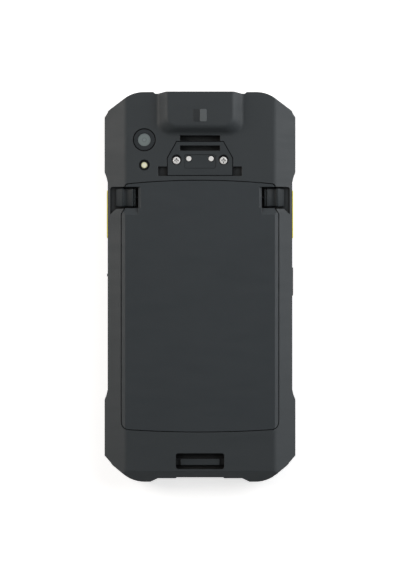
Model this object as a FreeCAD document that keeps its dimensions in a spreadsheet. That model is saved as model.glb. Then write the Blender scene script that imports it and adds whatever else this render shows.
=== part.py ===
import FreeCAD, Part
import os
import Sketcher

# Handheld barcode data terminal, lying on its screen with its back up. The rear housing is one
# moulded shell: corner bumpers, sloping shoulders, a scanner hump at the top end, a battery bay, a
# seat for the hand-strap plate and a strap recess at the foot. X runs across the back, Y runs
# towards the scanner end and Z comes out of the back. The origin is under the middle of the case.

Vector = FreeCAD.Vector
doc = FreeCAD.newDocument("terminal")

# Sizes that stay as they are
SIZES = {
    # outside of the case
    "body_width": 79.0,
    "body_length": 161.0,
    "body_height": 13.7,
    "front_height": 3.0,
    "grip_inset": 1.3,
    "grip_ramp": 4.2,
    "grip_ramp_knee": 0.5,
    "shoulder_drop": 4.6,
    "bend_radius": 4.0,
    "front_edge_radius": 0.8,
    # corner bumpers, measured in from the side and the end of the case
    "corner_end": 12.0,
    "corner_radius": 13.0,
    "top_corner_x": 1.6,
    "top_corner_y": 7.5,
    "top_nib_x": 1.05,
    "top_nib_y": 8.7,
    "top_pad_y": 10.3,
    "bottom_pad_y": 10.8,
    "bottom_nib_x": 2.5,
    "bottom_nib_y": 8.0,
    "bottom_corner_x": 3.3,
    "bottom_corner_y": 6.9,
    "foot_ramp": 3.1,
    "foot_height": 1.5,
    "bottom_chamfer_y": 4.6,
    "bottom_chamfer_slope": 0.68,
    # scanner hump and its notches in the top end
    "hump_height": 3.4,
    "hump_side_slope": 3.5,
    "hump_end_slope": 2.6,
    "hump_corner_radius": 6.5,
    "hump_top_radius": 2.2,
    "hump_foot_radius": 2.2,
    "notch_depth": 0.7,
    "notch_ramp": 0.8,
    # walls and rooms inside the rear housing
    "wall": 1.7,
    "end_wall": 1.9,
    "back_wall": 1.6,
    "bay_wall": 1.2,
    "bay_floor": 0.8,
    "room_height": 3.0,
    "side_room_height": 5.8,
    "lower_room_height": 6.2,
    "centre_room_height": 5.5,
    "inner_corner_x": 10.0,
    "inner_corner_y": 7.2,
    "scan_room_height": 12.4,
    # removable battery
    "battery_neck": 1.5,
    "battery_neck_ramp": 2.5,
    "battery_top_bow": 1.58,
    "battery_bottom_bow": 1.17,
    "battery_corner": 3.0,
    "battery_top_corner": 1.5,
    "battery_depth": 6.7,
    "battery_edge_radius": 0.35,
    "seam": 0.3,
    "under_battery": 0.2,
    "tray_height": 2.6,
    "tray_setback": 0.5,
    "cover_wall": 1.2,
    "cell_gap": 0.2,
    "tray_floor": 0.8,
    "tab_width": 7.0,
    "tab_reach": 1.5,
    "tab_height": 1.0,
    "tab_room": 0.5,
    # latches, their pockets and the finger scoops beside them
    "latch_top_drop": 0.9,
    "latch_travel": 1.0,
    "latch_gap": 0.1,
    "pocket_bevel": 1.0,
    "scoop_foot": 2.2,
    "spring_radius": 0.65,
    "spring_bore": 0.35,
    "spring_gap": 0.1,
    "spring_in_latch": 2.6,
    "spring_seat": 1.3,
    # hand-strap plate and its seat
    "plate_thickness": 1.7,
    "plate_gap": 0.15,
    "plate_corner": 0.7,
    "strap_room_depth": 3.9,
    "side_recess_depth": 1.4,
    "plate_screw_head": 1.55,
    "plate_screw_sink": 2.1,
    "plate_screw_sink_depth": 0.9,
    "plate_screw_shank": 0.8,
    "plate_screw_length": 4.2,
    "contact_corner": 1.0,
    "contact_depth": 2.9,
    "contact_sink": 0.15,
    "contact_radius": 1.05,
    "contact_ring": 1.35,
    "contact_ring_depth": 0.25,
    "contact_pin": 1.4,
    # camera and flash
    "camera_recess": 4.75,
    "camera_recess_depth": 1.0,
    "camera_groove": 0.45,
    "camera_hole": 3.4,
    "camera_window": 2.85,
    "camera_lip": 2.3,
    "camera_lens_sink": 0.25,
    "camera_lens_thick": 0.6,
    "camera_block": 8.6,
    "camera_barrel": 2.6,
    "flash_hole": 2.25,
    "flash_lens": 1.25,
    "flash_sink": 0.4,
    "flash_depth": 1.3,
    # strap recess and bar at the foot
    "recess_depth": 3.6,
    "recess_corner": 1.0,
    "bar_drop": 1.4,
    "bar_height": 2.0,
    "bar_seat": 1.2,
    "strap_inset": 0.4,
    # screen side
    "glass_sink": 0.4,
    "glass_thickness": 0.9,
    "glass_corner": 6.0,
    "glass_gap": 0.12,
    "gasket_height": 0.2,
    "gasket_width": 1.6,
    "receiver_slot": 1.2,
    "front_camera_radius": 2.6,
    "ledge_corner": 4.0,
    "seal_width": 0.8,
    "seal_height": 0.8,
    "seal_corner": 9.4,
    "frame_thickness": 0.8,
    "frame_corner": 9.0,
    "boss_radius": 2.0,
    "housing_screw": 0.8,
    "housing_screw_head": 1.5,
    "housing_screw_sink": 0.5,
    # electronics
    "board_lift": 0.6,
    "board_thickness": 0.8,
    "shield_height": 0.7,
    "flex_width": 8.0,
    "flex_thickness": 0.2,
    "port_half": 4.5,
    "port_height": 3.2,
    "port_depth": 7.4,
    "port_wall": 0.3,
    "port_lift": 0.4,
    "port_clearance": 0.25,
    "engine_height": 8.6,
    "engine_lens": 3.0,
    "window_low": 5.6,
    "window_high": 14.6,
    "window_corner": 1.4,
    "window_thickness": 1.0,
    "window_sink": 0.35,
    "window_lip": 0.8,
    "window_gap": 0.1,
    # keys in the long sides
    "key_low_z": 4.5,
    "key_high_z": 8.4,
    "key_gap": 0.15,
    "key_corner": 1.1,
    "key_flange": 0.4,
    "key_flange_gap": 0.1,
    "key_proud": 0.4,
    "rocker_nub": 1.1,
    "rocker_nub_proud": 0.32,
    "rocker_depth": 2.6,
    "dome_gap": 0.5,
    "dome_radius": 1.2,
    "dome_height": 0.5,
    # finger scoops, sound holes and other small things
    "bar_end_drop": 0.9,
    "scoop_corner": 1.0,
    "plate_sink_offset": 0.35,
    "latch_dish": 1.0,
    "latch_foot": 1.0,
    "dish_depth": 1.1,
    "sound_hole": 0.8,
    "sound_hole_x": 12.4,
    "sound_hole_low": 5.4,
    "sound_hole_high": 7.6,
    "sound_hole_pitch": 1.7,
    "spring_drop": 0.8,
}

# Places across the case, at its drawn width; they keep their share of the width
DRAWN_WIDTH = 79.0
ACROSS = {
    "foot_half_width": 20.5,
    "hump_half_width": 17.3,
    "scan_face_half": 14.1,
    "notch_outer": 18.5,
    "centre_room_half": 15.5,
    "scan_room_half": 12.5,
    "battery_half": 32.35,
    "cell_half": 28.0,
    "latch_inner": 27.4,
    "latch_outer": 34.9,
    "pocket_inner": 25.5,
    "scoop_outer": 37.1,
    "plate_half": 13.5,
    "plate_top_half": 9.7,
    "slot_half": 8.3,
    "side_recess_half": 17.3,
    "plate_screw_x": 9.7,
    "contact_half": 6.6,
    "contact_x": 4.6,
    "camera_x": 22.98,
    "recess_half": 10.0,
    "front_camera_x": 16.0,
    "receiver_half": 6.0,
    "boss_x": 27.5,
    "engine_half": 10.0,
    "window_half": 12.4,
    "back_flat_width": 61.8,
    "tab_x": 17.0,
    "bar_land_half": 8.0,
    "scoop_step": 34.6,
    "ridge_inner": 31.5,
    "ridge_outer": 32.6,
    "antenna_left": 18.0,
    "antenna_right": 28.5,
    "circuit_half": 20.0,
    "connector_half": 8.0,
}

# Places along the case, at its drawn length; they keep their share of the length
DRAWN_LENGTH = 161.0
ALONG = {
    "grip_top": 43.3,
    "grip_bottom": 42.4,
    "hump_length": 17.1,
    "battery_neck_y": 32.6,
    "battery_top": 42.35,
    "battery_bottom": 58.5,
    "cell_top": 28.5,
    "cell_bottom": 56.0,
    "latch_low": 33.2,
    "latch_high": 40.8,
    "pocket_low": 32.6,
    "pocket_high": 41.35,
    "scoop_low": 32.3,
    "scoop_high": 41.4,
    "plate_bottom": 46.04,
    "plate_shoulder": 53.3,
    "plate_top": 60.1,
    "slot_low": 56.3,
    "slot_bar_low": 58.4,
    "slot_high": 62.6,
    "side_recess_low": 45.85,
    "side_recess_high": 49.75,
    "plate_screw_y": 52.2,
    "contact_low": 49.0,
    "contact_high": 54.7,
    "contact_y": 53.0,
    "camera_y": 60.78,
    "flash_y": 50.35,
    "recess_high": 68.6,
    "recess_low": 75.2,
    "bar_high": 71.0,
    "bar_low": 73.5,
    "receiver_y": 68.6,
    "boss_high": 38.0,
    "boss_low": 52.0,
    "main_board_low": -12.0,
    "main_board_high": 63.5,
    "lower_board_high": -57.5,
    "scan_key_low": 20.1,
    "scan_key_high": 40.2,
    "power_key_low": -3.7,
    "power_key_high": 8.3,
    "rocker_low": -5.0,
    "rocker_high": 15.0,
    "engine_low": 66.4,
    "scan_room_length": 13.2,
    "display_y": -2.0,
    "dish_low": 29.9,
    "antenna_low": 56.0,
    "antenna_high": 69.0,
    "switch_strip_low": -12.0,
    "switch_strip_high": 42.0,
}

# How far in from each side of the case
FROM_SIDE = {
    "glass_half": 4.25,
    "ledge_half": 6.1,
    "display_half": 6.9,
    "seal_inner": 2.8,
    "frame_half": 5.3,
    "board_half": 7.5,
}

# How far in from each end of the case
FROM_END = {
    "glass_half_length": 6.5,
    "ledge_half_length": 7.9,
    "display_half_length": 23.0,
    "seal_end": 3.2,
    "frame_half_length": 7.0,
    "engine_high": 3.1,
    "lower_board_low": 5.5,
}


class Size:
    """A length: its number, and the sheet expression that gives it."""

    def __init__(self, value, text):
        self.value = value
        self.text = text

    def join(self, sign, other, value):
        return Size(value, f"({self.text} {sign} {size(other).text})")

    def __add__(self, other):
        return self.join("+", other, self.value + size(other).value)

    def __sub__(self, other):
        return self.join("-", other, self.value - size(other).value)

    def __mul__(self, other):
        return self.join("*", other, self.value * size(other).value)

    def __truediv__(self, other):
        return self.join("/", other, self.value / size(other).value)

    def __radd__(self, other):
        return size(other) + self

    def __rsub__(self, other):
        return size(other) - self

    def __rmul__(self, other):
        return size(other) * self

    def __neg__(self):
        return Size(-self.value, f"(-{self.text})")


def size(number):
    return number if isinstance(number, Size) else Size(float(number), repr(float(number)))


def read_sheet():
    """Writes the sizes into the sheet and gives each one, or its place, back under its name."""
    sheet = doc.addObject("Spreadsheet::Sheet", "Sizes")
    everything = SIZES | ACROSS | ALONG | FROM_SIDE | FROM_END
    named = {}
    for row, (alias, value) in enumerate(everything.items(), 1):
        sheet.set(f"A{row}", alias)
        sheet.set(f"B{row}", str(value))
        sheet.setAlias(f"B{row}", alias)
        named[alias] = Size(value, f"Sizes.{alias}")
    doc.recompute()
    width, length = named["body_width"], named["body_length"]
    for alias in ACROSS:
        named[alias] = named[alias] * (width / DRAWN_WIDTH)
    for alias in ALONG:
        named[alias] = named[alias] * (length / DRAWN_LENGTH)
    for alias in FROM_SIDE:
        named[alias] = width / 2 - named[alias]
    for alias in FROM_END:
        named[alias] = length / 2 - named[alias]
    return type("Named", (), named)


D = read_sheet()
pieces = []

# Places that several pieces share
half_width = D.body_width / 2
half_length = D.body_length / 2
rail = half_width - D.grip_inset
back = D.body_height
hump_top = back + D.hump_height
flat_half = D.back_flat_width / 2
slope = D.shoulder_drop / (half_width - flat_half)
above = hump_top + 1
inner_side = rail - D.wall
battery_base = back - D.battery_depth
bay_base = battery_base - D.under_battery
tray_top = battery_base + D.tray_height
floor_under = bay_base - D.bay_floor
bay_side = D.battery_half + D.seam + D.bay_wall
plate_seat = back - D.plate_thickness
contact_base = back - D.contact_depth
scoop_floor = tray_top + D.latch_gap
glass_back = D.glass_sink + D.glass_thickness
frame_back = D.front_height + D.frame_thickness
board_front = frame_back + D.board_lift
board_back = board_front + D.board_thickness
latch_middle = (D.latch_low + D.latch_high) / 2
spring_middle = (tray_top + back) / 2 - D.spring_drop
boss_spots = [(hand * D.boss_x, along) for hand in (1, -1) for along in (D.boss_high, -D.boss_low)]


def bind(thing, path, length):
    thing.setExpression(path, size(length).text)


def finish(thing):
    """Keeps a finished piece for the export."""
    doc.recompute()
    pieces.append(thing)
    return thing


# Sketches, pads and pockets


def new_body(label):
    body = doc.addObject("PartDesign::Body", label)
    body.Label = label
    return body


def new_sketch(body, name, role="XY_Plane", offset=None):
    plane = next(f for f in body.Origin.OriginFeatures if f.Role == role)
    sketch = body.newObject("Sketcher::SketchObject", name)
    sketch.AttachmentSupport = (plane, "")
    sketch.MapMode = "FlatFace"
    if offset is not None:
        bind(sketch, "AttachmentOffset.Base.z", offset)
    return sketch


def pin_point(sketch, geometry, position, x, y):
    """Holds a point of the sketch at x, y, each bound to its size."""
    for kind, length, axis in (("DistanceX", size(x), -2), ("DistanceY", size(y), -1)):
        if abs(length.value) < 1e-9:
            sketch.addConstraint(Sketcher.Constraint("PointOnObject", geometry, position, axis))
            continue
        made = sketch.addConstraint(
            Sketcher.Constraint(kind, -1, 1, geometry, position, length.value)
        )
        bind(sketch, f"Constraints[{made}]", length)


def hold_radius(sketch, geometry, radius):
    made = sketch.addConstraint(Sketcher.Constraint("Radius", geometry, radius.value))
    bind(sketch, f"Constraints[{made}]", radius)


def spot(x, y):
    return Vector(size(x).value, size(y).value, 0)


def bow_arc(start, end, bow):
    """The arc over a level chord that is centred on x = 0 and rises by bow, and its radius."""
    middle = Vector(0, start.y + bow.value, 0)
    return Part.Arc(start, middle, end)


def add_outline(sketch, points, bows=()):
    """A closed outline; bows maps a side's index to how far its arc stands off the chord."""
    first = sketch.GeometryCount
    count = len(points)
    bows = dict(bows)
    spots = [spot(x, y) for x, y in points]
    for i in range(count):
        start, end = spots[i], spots[(i + 1) % count]
        side = bow_arc(start, end, bows[i]) if i in bows else Part.LineSegment(start, end)
        sketch.addGeometry(side, False)
    starts = {}
    for i in range(count):
        # an arc is kept counterclockwise, so one drawn clockwise starts at its end point
        turned = i in bows and (bows[i].value > 0) == (spots[(i + 1) % count].x > spots[i].x)
        starts[i] = (2, 1) if turned else (1, 2)
    for i in range(count):
        after = (i + 1) % count
        sketch.addConstraint(
            Sketcher.Constraint("Coincident", first + i, starts[i][1], first + after, starts[after][0])
        )
    for i, (x, y) in enumerate(points):
        pin_point(sketch, first + i, starts[i][0], x, y)
    for i, bow in bows.items():
        half = size(points[i][0])
        lift = bow if bow.value > 0 else -bow
        hold_radius(sketch, first + i, (half * half + lift * lift) / (2 * lift))


def add_rectangle(sketch, left, right, low, high):
    add_outline(sketch, [(left, high), (right, high), (right, low), (left, low)])


def add_circle(sketch, x, y, radius):
    made = sketch.addGeometry(Part.Circle(spot(x, y), Vector(0, 0, 1), size(radius).value), False)
    pin_point(sketch, made, 3, x, y)
    hold_radius(sketch, made, size(radius))


def mirrored(points):
    """The right half's points, clockwise from the top, and their mirror images."""
    return points + [(-x, y) for x, y in reversed(points)]


def pad(body, sketch, length, name="pad"):
    feature = body.newObject("PartDesign::Pad", name)
    feature.Profile = sketch
    bind(feature, "Length", length)
    doc.recompute()
    return feature


def pocket(body, sketch, depth=None, name="pocket", turned=False):
    """Cuts into the body by depth, or right through both ways from the sketch's plane."""
    feature = body.newObject("PartDesign::Pocket", name)
    feature.Profile = sketch
    feature.Reversed = turned
    if depth is None:
        feature.SideType = "Symmetric"
        feature.Type = "ThroughAll"
    else:
        bind(feature, "Length", depth)
    before = feature.BaseFeature.Shape.Volume
    doc.recompute()
    if feature.Shape.Volume > before - 1e-6:
        raise RuntimeError(f"{body.Label}: {name} cuts nothing")
    return feature


def sink(body, name, low, high, rectangles=(), outlines=(), circles=()):
    """Pockets the shapes out of the body between the two heights."""
    sketch = new_sketch(body, f"{name}_sketch", offset=high)
    for rectangle in rectangles:
        add_rectangle(sketch, *rectangle)
    for outline in outlines:
        add_outline(sketch, *outline)
    for circle in circles:
        add_circle(sketch, *circle)
    return pocket(body, sketch, high - low, name)


def raise_up(body, name, low, high, rectangles=(), outlines=(), circles=()):
    """Pads the shapes onto the body between the two heights."""
    sketch = new_sketch(body, f"{name}_sketch", offset=low)
    for rectangle in rectangles:
        add_rectangle(sketch, *rectangle)
    for outline in outlines:
        add_outline(sketch, *outline)
    for circle in circles:
        add_circle(sketch, *circle)
    return pad(body, sketch, high - low, name)


def round_edges(body, radius, chosen, name="round", kind="Fillet"):
    """Rounds or bevels the chosen edges of the body's last feature."""
    base = body.Tip
    edges = [f"Edge{i}" for i, edge in enumerate(base.Shape.Edges, 1) if chosen(edge)]
    if not edges:
        raise RuntimeError(f"{body.Label}: {name} finds no edge")
    feature = body.newObject(f"PartDesign::{kind}", name)
    feature.Base = (base, edges)
    bind(feature, "Radius" if kind == "Fillet" else "Size", radius)
    doc.recompute()
    if feature.Shape.isNull() or not feature.Shape.isValid():
        raise RuntimeError(f"{body.Label}: {name} fails on {len(edges)} edges")
    return feature


# Ways to pick edges


def near(value, target, tolerance=0.01):
    return abs(value - size(target).value) < tolerance


def spans(low, high, from_, to_):
    return low > size(from_).value - 0.01 and high < size(to_).value + 0.01


def upright(edge):
    return edge.BoundBox.XLength < 1e-4 and edge.BoundBox.YLength < 1e-4


def along_y(edge):
    return edge.BoundBox.XLength < 1e-4 and edge.BoundBox.ZLength < 1e-4


def level_at(height):
    return lambda edge: near(edge.BoundBox.ZMin, height) and near(edge.BoundBox.ZMax, height)


def upright_in(left, right, low, high):
    """Picks the upright edges that stand inside the rectangle."""
    return lambda edge: (
        upright(edge)
        and spans(edge.BoundBox.XMin, edge.BoundBox.XMax, left, right)
        and spans(edge.BoundBox.YMin, edge.BoundBox.YMax, low, high)
    )


# Plain solids made of boxes and cylinders


def box(name, left, right, low, high, bottom, top):
    made = doc.addObject("Part::Box", name)
    for path, length in (
        ("Length", right - left),
        ("Width", high - low),
        ("Height", top - bottom),
        ("Placement.Base.x", left),
        ("Placement.Base.y", low),
        ("Placement.Base.z", bottom),
    ):
        bind(made, path, length)
    return made


def rod(name, radius, x, y, bottom, top):
    """An upright cylinder."""
    made = doc.addObject("Part::Cylinder", name)
    for path, length in (
        ("Radius", radius),
        ("Height", top - bottom),
        ("Placement.Base.x", x),
        ("Placement.Base.y", y),
        ("Placement.Base.z", bottom),
    ):
        bind(made, path, length)
    return made


def lying_rod(name, radius, x, y, z, length, along):
    """A cylinder that starts at x, y, z and lies along X or Y."""
    made = doc.addObject("Part::Cylinder", name)
    axis = Vector(0, 1, 0) if along == "X" else Vector(1, 0, 0)
    turn = 90 if along == "X" else -90
    made.Placement = FreeCAD.Placement(Vector(0, 0, 0), FreeCAD.Rotation(axis, turn))
    bind(made, "Radius", radius)
    bind(made, "Height", length)
    for path, place in (("x", x), ("y", y), ("z", z)):
        bind(made, f"Placement.Base.{path}", place)
    return made


def fuse(name, things):
    made = doc.addObject("Part::MultiFuse", name)
    made.Label = name
    made.Shapes = things
    return made


def cut(name, base, tools):
    made = doc.addObject("Part::Cut", name)
    made.Label = name
    made.Base = base
    made.Tool = tools[0] if len(tools) == 1 else fuse(f"{name}_tools", tools)
    return made


def named(thing, label):
    thing.Label = label
    return finish(thing)


# Outlines that more than one piece follows


def case_outline():
    """Right half of the case seen from the back, clockwise from the scanner end."""
    top, bottom = half_length, -half_length
    knee = D.grip_ramp / 2
    foot_top = bottom + D.foot_height
    return [
        (D.scan_face_half, top),
        (D.hump_half_width, top - D.notch_depth),
        (D.notch_outer, top - D.notch_depth),
        (D.notch_outer + D.notch_ramp, top),
        (half_width - D.corner_end, top),
        (half_width - D.top_corner_x, top - D.top_corner_y),
        (half_width - D.top_nib_x, top - D.top_nib_y),
        (half_width, top - D.top_pad_y),
        (half_width, D.grip_top + D.grip_ramp),
        (rail + D.grip_ramp_knee, D.grip_top + knee),
        (rail, D.grip_top),
        (rail, -D.grip_bottom),
        (rail + D.grip_ramp_knee, -D.grip_bottom - knee),
        (half_width, -D.grip_bottom - D.grip_ramp),
        (half_width, bottom + D.bottom_pad_y),
        (half_width - D.bottom_nib_x, bottom + D.bottom_nib_y),
        (half_width - D.bottom_corner_x, bottom + D.bottom_corner_y),
        (half_width - D.corner_end, bottom),
        (D.foot_half_width, bottom),
        (D.foot_half_width - D.foot_ramp, foot_top),
        (D.recess_half, foot_top),
        (D.recess_half - D.strap_inset, foot_top + D.strap_inset),
    ]


def case_block(body, low, high):
    """A block of the case's outline with its four corners rounded."""
    raise_up(body, "case_block", low, high, outlines=[(mirrored(case_outline()),)])
    corner = half_width - D.corner_end
    round_edges(
        body,
        D.corner_radius,
        lambda e: upright(e)
        and near(abs(e.BoundBox.XMin), corner)
        and near(abs(e.BoundBox.YMin), half_length),
        "corner_rounds",
    )


def shoulder_cut(body):
    """Trims the shell to the slopes of its hump and of its two shoulders."""
    end = new_sketch(body, "shoulder_view", "XZ_Plane")
    reach = half_width + 1
    rise = (above - back) / D.hump_height
    for hand in (1, -1):
        add_outline(
            end,
            [
                (hand * (D.hump_half_width - D.hump_side_slope * rise), above),
                (hand * D.hump_half_width, back),
                (hand * flat_half, back),
                (hand * reach, back - (reach - flat_half) * slope),
                (hand * reach, above),
            ],
        )
    return pocket(body, end, name="shoulder_cut")


def battery_outline(grow=0.0, top_back=0.0):
    """The battery seen from the back, grown all round for the bay or drawn in for the tray."""
    side = D.battery_half + grow
    neck = side - D.battery_neck
    low = -D.battery_bottom - grow
    top = D.battery_top + grow - top_back
    points = [
        (-neck, top),
        (neck, top),
        (neck, D.battery_neck_y),
        (side, D.battery_neck_y - D.battery_neck_ramp),
        (side, low),
        (-side, low),
        (-side, D.battery_neck_y - D.battery_neck_ramp),
        (-neck, D.battery_neck_y),
    ]
    return points, {0: D.battery_top_bow, 4: -D.battery_bottom_bow}


def battery_corners(body, grow=0.0):
    """Rounds the four corners of a block or bay of the battery's outline."""
    side = (D.battery_half + grow).value

    def at(edge, x, low, high):
        b = edge.BoundBox
        return upright(edge) and near(abs(b.XMin), x) and low < b.YMin < high

    bottom = (-D.battery_bottom - grow).value
    round_edges(
        body,
        D.battery_corner + grow,
        lambda e: at(e, side, bottom - 0.1, bottom + 0.1),
        "battery_corners",
    )
    top = D.battery_top.value - 2
    round_edges(
        body,
        D.battery_top_corner,
        lambda e: at(e, side - D.battery_neck.value, top, top + 4),
        "battery_top_corners",
    )


def plate_outline(grow=0.0):
    """Right half of the strap plate, clockwise from its top end."""
    return [
        (D.plate_top_half + grow * 0.6, D.plate_top + grow),
        (D.plate_half + grow, D.plate_shoulder + grow * 0.3),
        (D.plate_half + grow, D.plate_bottom - grow),
    ]


# Rear housing


def housing_shell():
    body = new_body("rear_housing")
    case_block(body, D.front_height, hump_top)
    beyond = half_length + 1
    chamfer_start = -half_length + D.bottom_chamfer_y
    end_slope = D.hump_end_slope / D.hump_height
    side = new_sketch(body, "side_view", "YZ_Plane")
    add_outline(
        side,
        [
            (half_length - D.hump_length + (above - back) * end_slope, above),
            (half_length - D.hump_length, back),
            (chamfer_start, back),
            (-beyond, back - (chamfer_start + beyond) * D.bottom_chamfer_slope),
            (-beyond, above),
        ],
    )
    pocket(body, side, name="back_cut")
    shoulder_cut(body)

    def on_hump(edge):
        b = edge.BoundBox
        return b.XMax < D.hump_half_width.value + 0.1 and b.XMin > -D.hump_half_width.value - 0.1

    round_edges(
        body,
        D.hump_corner_radius,
        lambda e: near(e.BoundBox.ZMin, back)
        and near(e.BoundBox.ZMax, hump_top)
        and e.BoundBox.YMax < (half_length - D.hump_length + D.hump_end_slope).value + 0.1,
        "hump_corners",
    )
    round_edges(
        body,
        D.hump_top_radius,
        lambda e: near(e.BoundBox.ZMin, hump_top) and e.BoundBox.YMin < half_length.value - 0.5,
        "hump_rim",
    )
    round_edges(
        body,
        D.hump_foot_radius,
        lambda e: level_at(back)(e)
        and on_hump(e)
        and e.BoundBox.YMin > (half_length - D.hump_length).value - 0.1
        and e.BoundBox.YMin < (half_length - D.notch_depth).value - 0.1,
        "hump_foot",
    )
    round_edges(
        body,
        D.bend_radius,
        lambda e: along_y(e) and near(abs(e.BoundBox.XMin), flat_half) and near(e.BoundBox.ZMin, back),
        "bends",
    )
    return body


def inner_outline(end_low):
    """Right half of the room inside the case, clockwise from the scanner end."""
    top = -end_low
    knee_x = inner_side - D.inner_corner_x
    return [
        (knee_x, top),
        (inner_side, top - D.inner_corner_y),
        (inner_side, end_low + D.inner_corner_y),
        (knee_x, end_low),
    ]


def housing_rooms(body):
    """Hollows the shell out from the screen side."""
    base = D.front_height
    low = -half_length + D.foot_height + D.end_wall
    plate_side = D.centre_room_half
    upper = half_length - D.end_wall - D.inner_corner_y
    chamber = D.battery_top + D.battery_top_bow + D.seam + D.bay_wall
    sink(body, "main_room", base, base + D.room_height, outlines=[(mirrored(inner_outline(low)),)])
    sink(
        body,
        "side_rooms",
        base + D.room_height,
        base + D.side_room_height,
        rectangles=[
            (bay_side, inner_side, -D.battery_bottom, upper),
            (-inner_side, -bay_side, -D.battery_bottom, upper),
        ],
    )
    sink(
        body,
        "upper_room",
        base + D.room_height,
        base + D.centre_room_height,
        rectangles=[(-bay_side, bay_side, chamber, upper)],
    )
    ceiling = back - D.back_wall
    sink(
        body,
        "camera_rooms",
        base + D.centre_room_height,
        ceiling,
        rectangles=[
            (plate_side + D.wall, flat_half - D.wall, chamber, upper),
            (D.wall - flat_half, -plate_side - D.wall, chamber, upper),
        ],
    )
    sink(
        body,
        "scan_room",
        base + D.room_height,
        base + D.scan_room_height,
        rectangles=[
            (
                -D.scan_room_half,
                D.scan_room_half,
                half_length - D.end_wall - D.scan_room_length,
                half_length - D.end_wall,
            )
        ],
    )
    foot_room = -D.battery_bottom - D.battery_bottom_bow - D.seam - D.tab_reach - D.wall
    sink(
        body,
        "lower_room",
        base + D.room_height,
        base + D.lower_room_height,
        rectangles=[
            (
                D.inner_corner_x - inner_side,
                inner_side - D.inner_corner_x,
                low,
                foot_room,
            )
        ],
    )


def housing_bay(body):
    """The battery bay, the pockets for its tabs, the screw holes and the finger scoops."""
    sink(body, "bay", bay_base, above, outlines=[battery_outline(D.seam)])
    battery_corners(body, D.seam)
    tab_half = D.tab_width / 2 + D.seam
    tab_low = tray_top - D.tab_height - D.tab_room
    bay_end = -D.battery_bottom - D.seam
    sink(
        body,
        "tab_pockets",
        tab_low,
        tray_top + D.seam,
        rectangles=[
            (
                hand * D.tab_x - tab_half,
                hand * D.tab_x + tab_half,
                bay_end - D.battery_bottom_bow - D.tab_reach,
                bay_end + 1,
            )
            for hand in (1, -1)
        ],
    )
    side = D.battery_half + D.seam - D.battery_neck
    foot = D.scoop_low - D.scoop_foot
    scoops = []
    for hand in (1, -1):
        scoops.append(
            (
                [
                    (hand * (side - 1), D.scoop_high),
                    (hand * D.scoop_outer, D.scoop_high),
                    (hand * D.scoop_outer, foot),
                    (hand * D.scoop_step, D.scoop_low),
                    (hand * (side - 1), D.scoop_low),
                ],
            )
        )
    sink(body, "finger_scoops", scoop_floor, above, outlines=scoops)
    round_edges(
        body,
        D.scoop_corner,
        lambda e: upright(e)
        and near(abs(e.BoundBox.XMin), D.scoop_outer)
        and near(e.BoundBox.YMin, D.scoop_high),
        "scoop_corners",
    )
    sink(
        body,
        "screw_holes",
        floor_under,
        bay_base,
        circles=[(x, y, D.housing_screw) for x, y in boss_spots],
    )
    sink(
        body,
        "screw_sinks",
        bay_base - D.housing_screw_sink,
        bay_base,
        circles=[(x, y, D.housing_screw_head) for x, y in boss_spots],
    )


def housing_back(body):
    """Everything else that is let into the back: plate seat, strap slots, camera, flash, foot recess."""
    grown = mirrored(plate_outline(D.plate_gap))
    sink(body, "plate_seat", plate_seat, above, outlines=[(grown,)])
    sink(
        body,
        "side_recesses",
        back - D.side_recess_depth,
        above,
        rectangles=[
            (D.plate_half - 1, D.side_recess_half, D.side_recess_low, D.side_recess_high),
            (-D.side_recess_half, 1 - D.plate_half, D.side_recess_low, D.side_recess_high),
        ],
    )
    sink(
        body,
        "strap_room",
        back - D.strap_room_depth,
        above,
        rectangles=[(-D.slot_half, D.slot_half, D.slot_low, D.slot_high)],
    )
    sink(
        body,
        "contact_seat",
        contact_base,
        plate_seat,
        rectangles=[(-D.contact_half, D.contact_half, D.contact_low, D.contact_high)],
    )
    sink(
        body,
        "plate_screw_holes",
        back - D.plate_screw_sink_depth - D.plate_screw_length,
        plate_seat,
        circles=[(hand * D.plate_screw_x, D.plate_screw_y, D.plate_screw_shank) for hand in (1, -1)],
    )
    sink(
        body,
        "camera_recess",
        back - D.camera_recess_depth,
        above,
        circles=[(-D.camera_x, D.camera_y, D.camera_recess)],
    )
    sink(
        body,
        "camera_and_flash_holes",
        back - D.back_wall - 1,
        above,
        circles=[
            (-D.camera_x, D.camera_y, D.camera_hole),
            (-D.camera_x, D.flash_y, D.flash_hole),
        ],
    )
    sink(
        body,
        "foot_recess",
        back - D.recess_depth,
        above,
        rectangles=[(-D.recess_half, D.recess_half, -D.recess_low, -D.recess_high)],
    )
    round_edges(
        body,
        D.recess_corner,
        upright_in(-D.recess_half, D.recess_half, -D.recess_low, -D.recess_high),
        "recess_corners",
    )
    bar_top = back - D.bar_drop
    sink(
        body,
        "bar_sockets",
        bar_top - D.bar_height,
        bar_top - D.bar_end_drop,
        rectangles=[
            (D.recess_half - 1, D.recess_half + D.bar_seat, -D.bar_low, -D.bar_high),
            (-D.recess_half - D.bar_seat, 1 - D.recess_half, -D.bar_low, -D.bar_high),
        ],
    )


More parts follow.
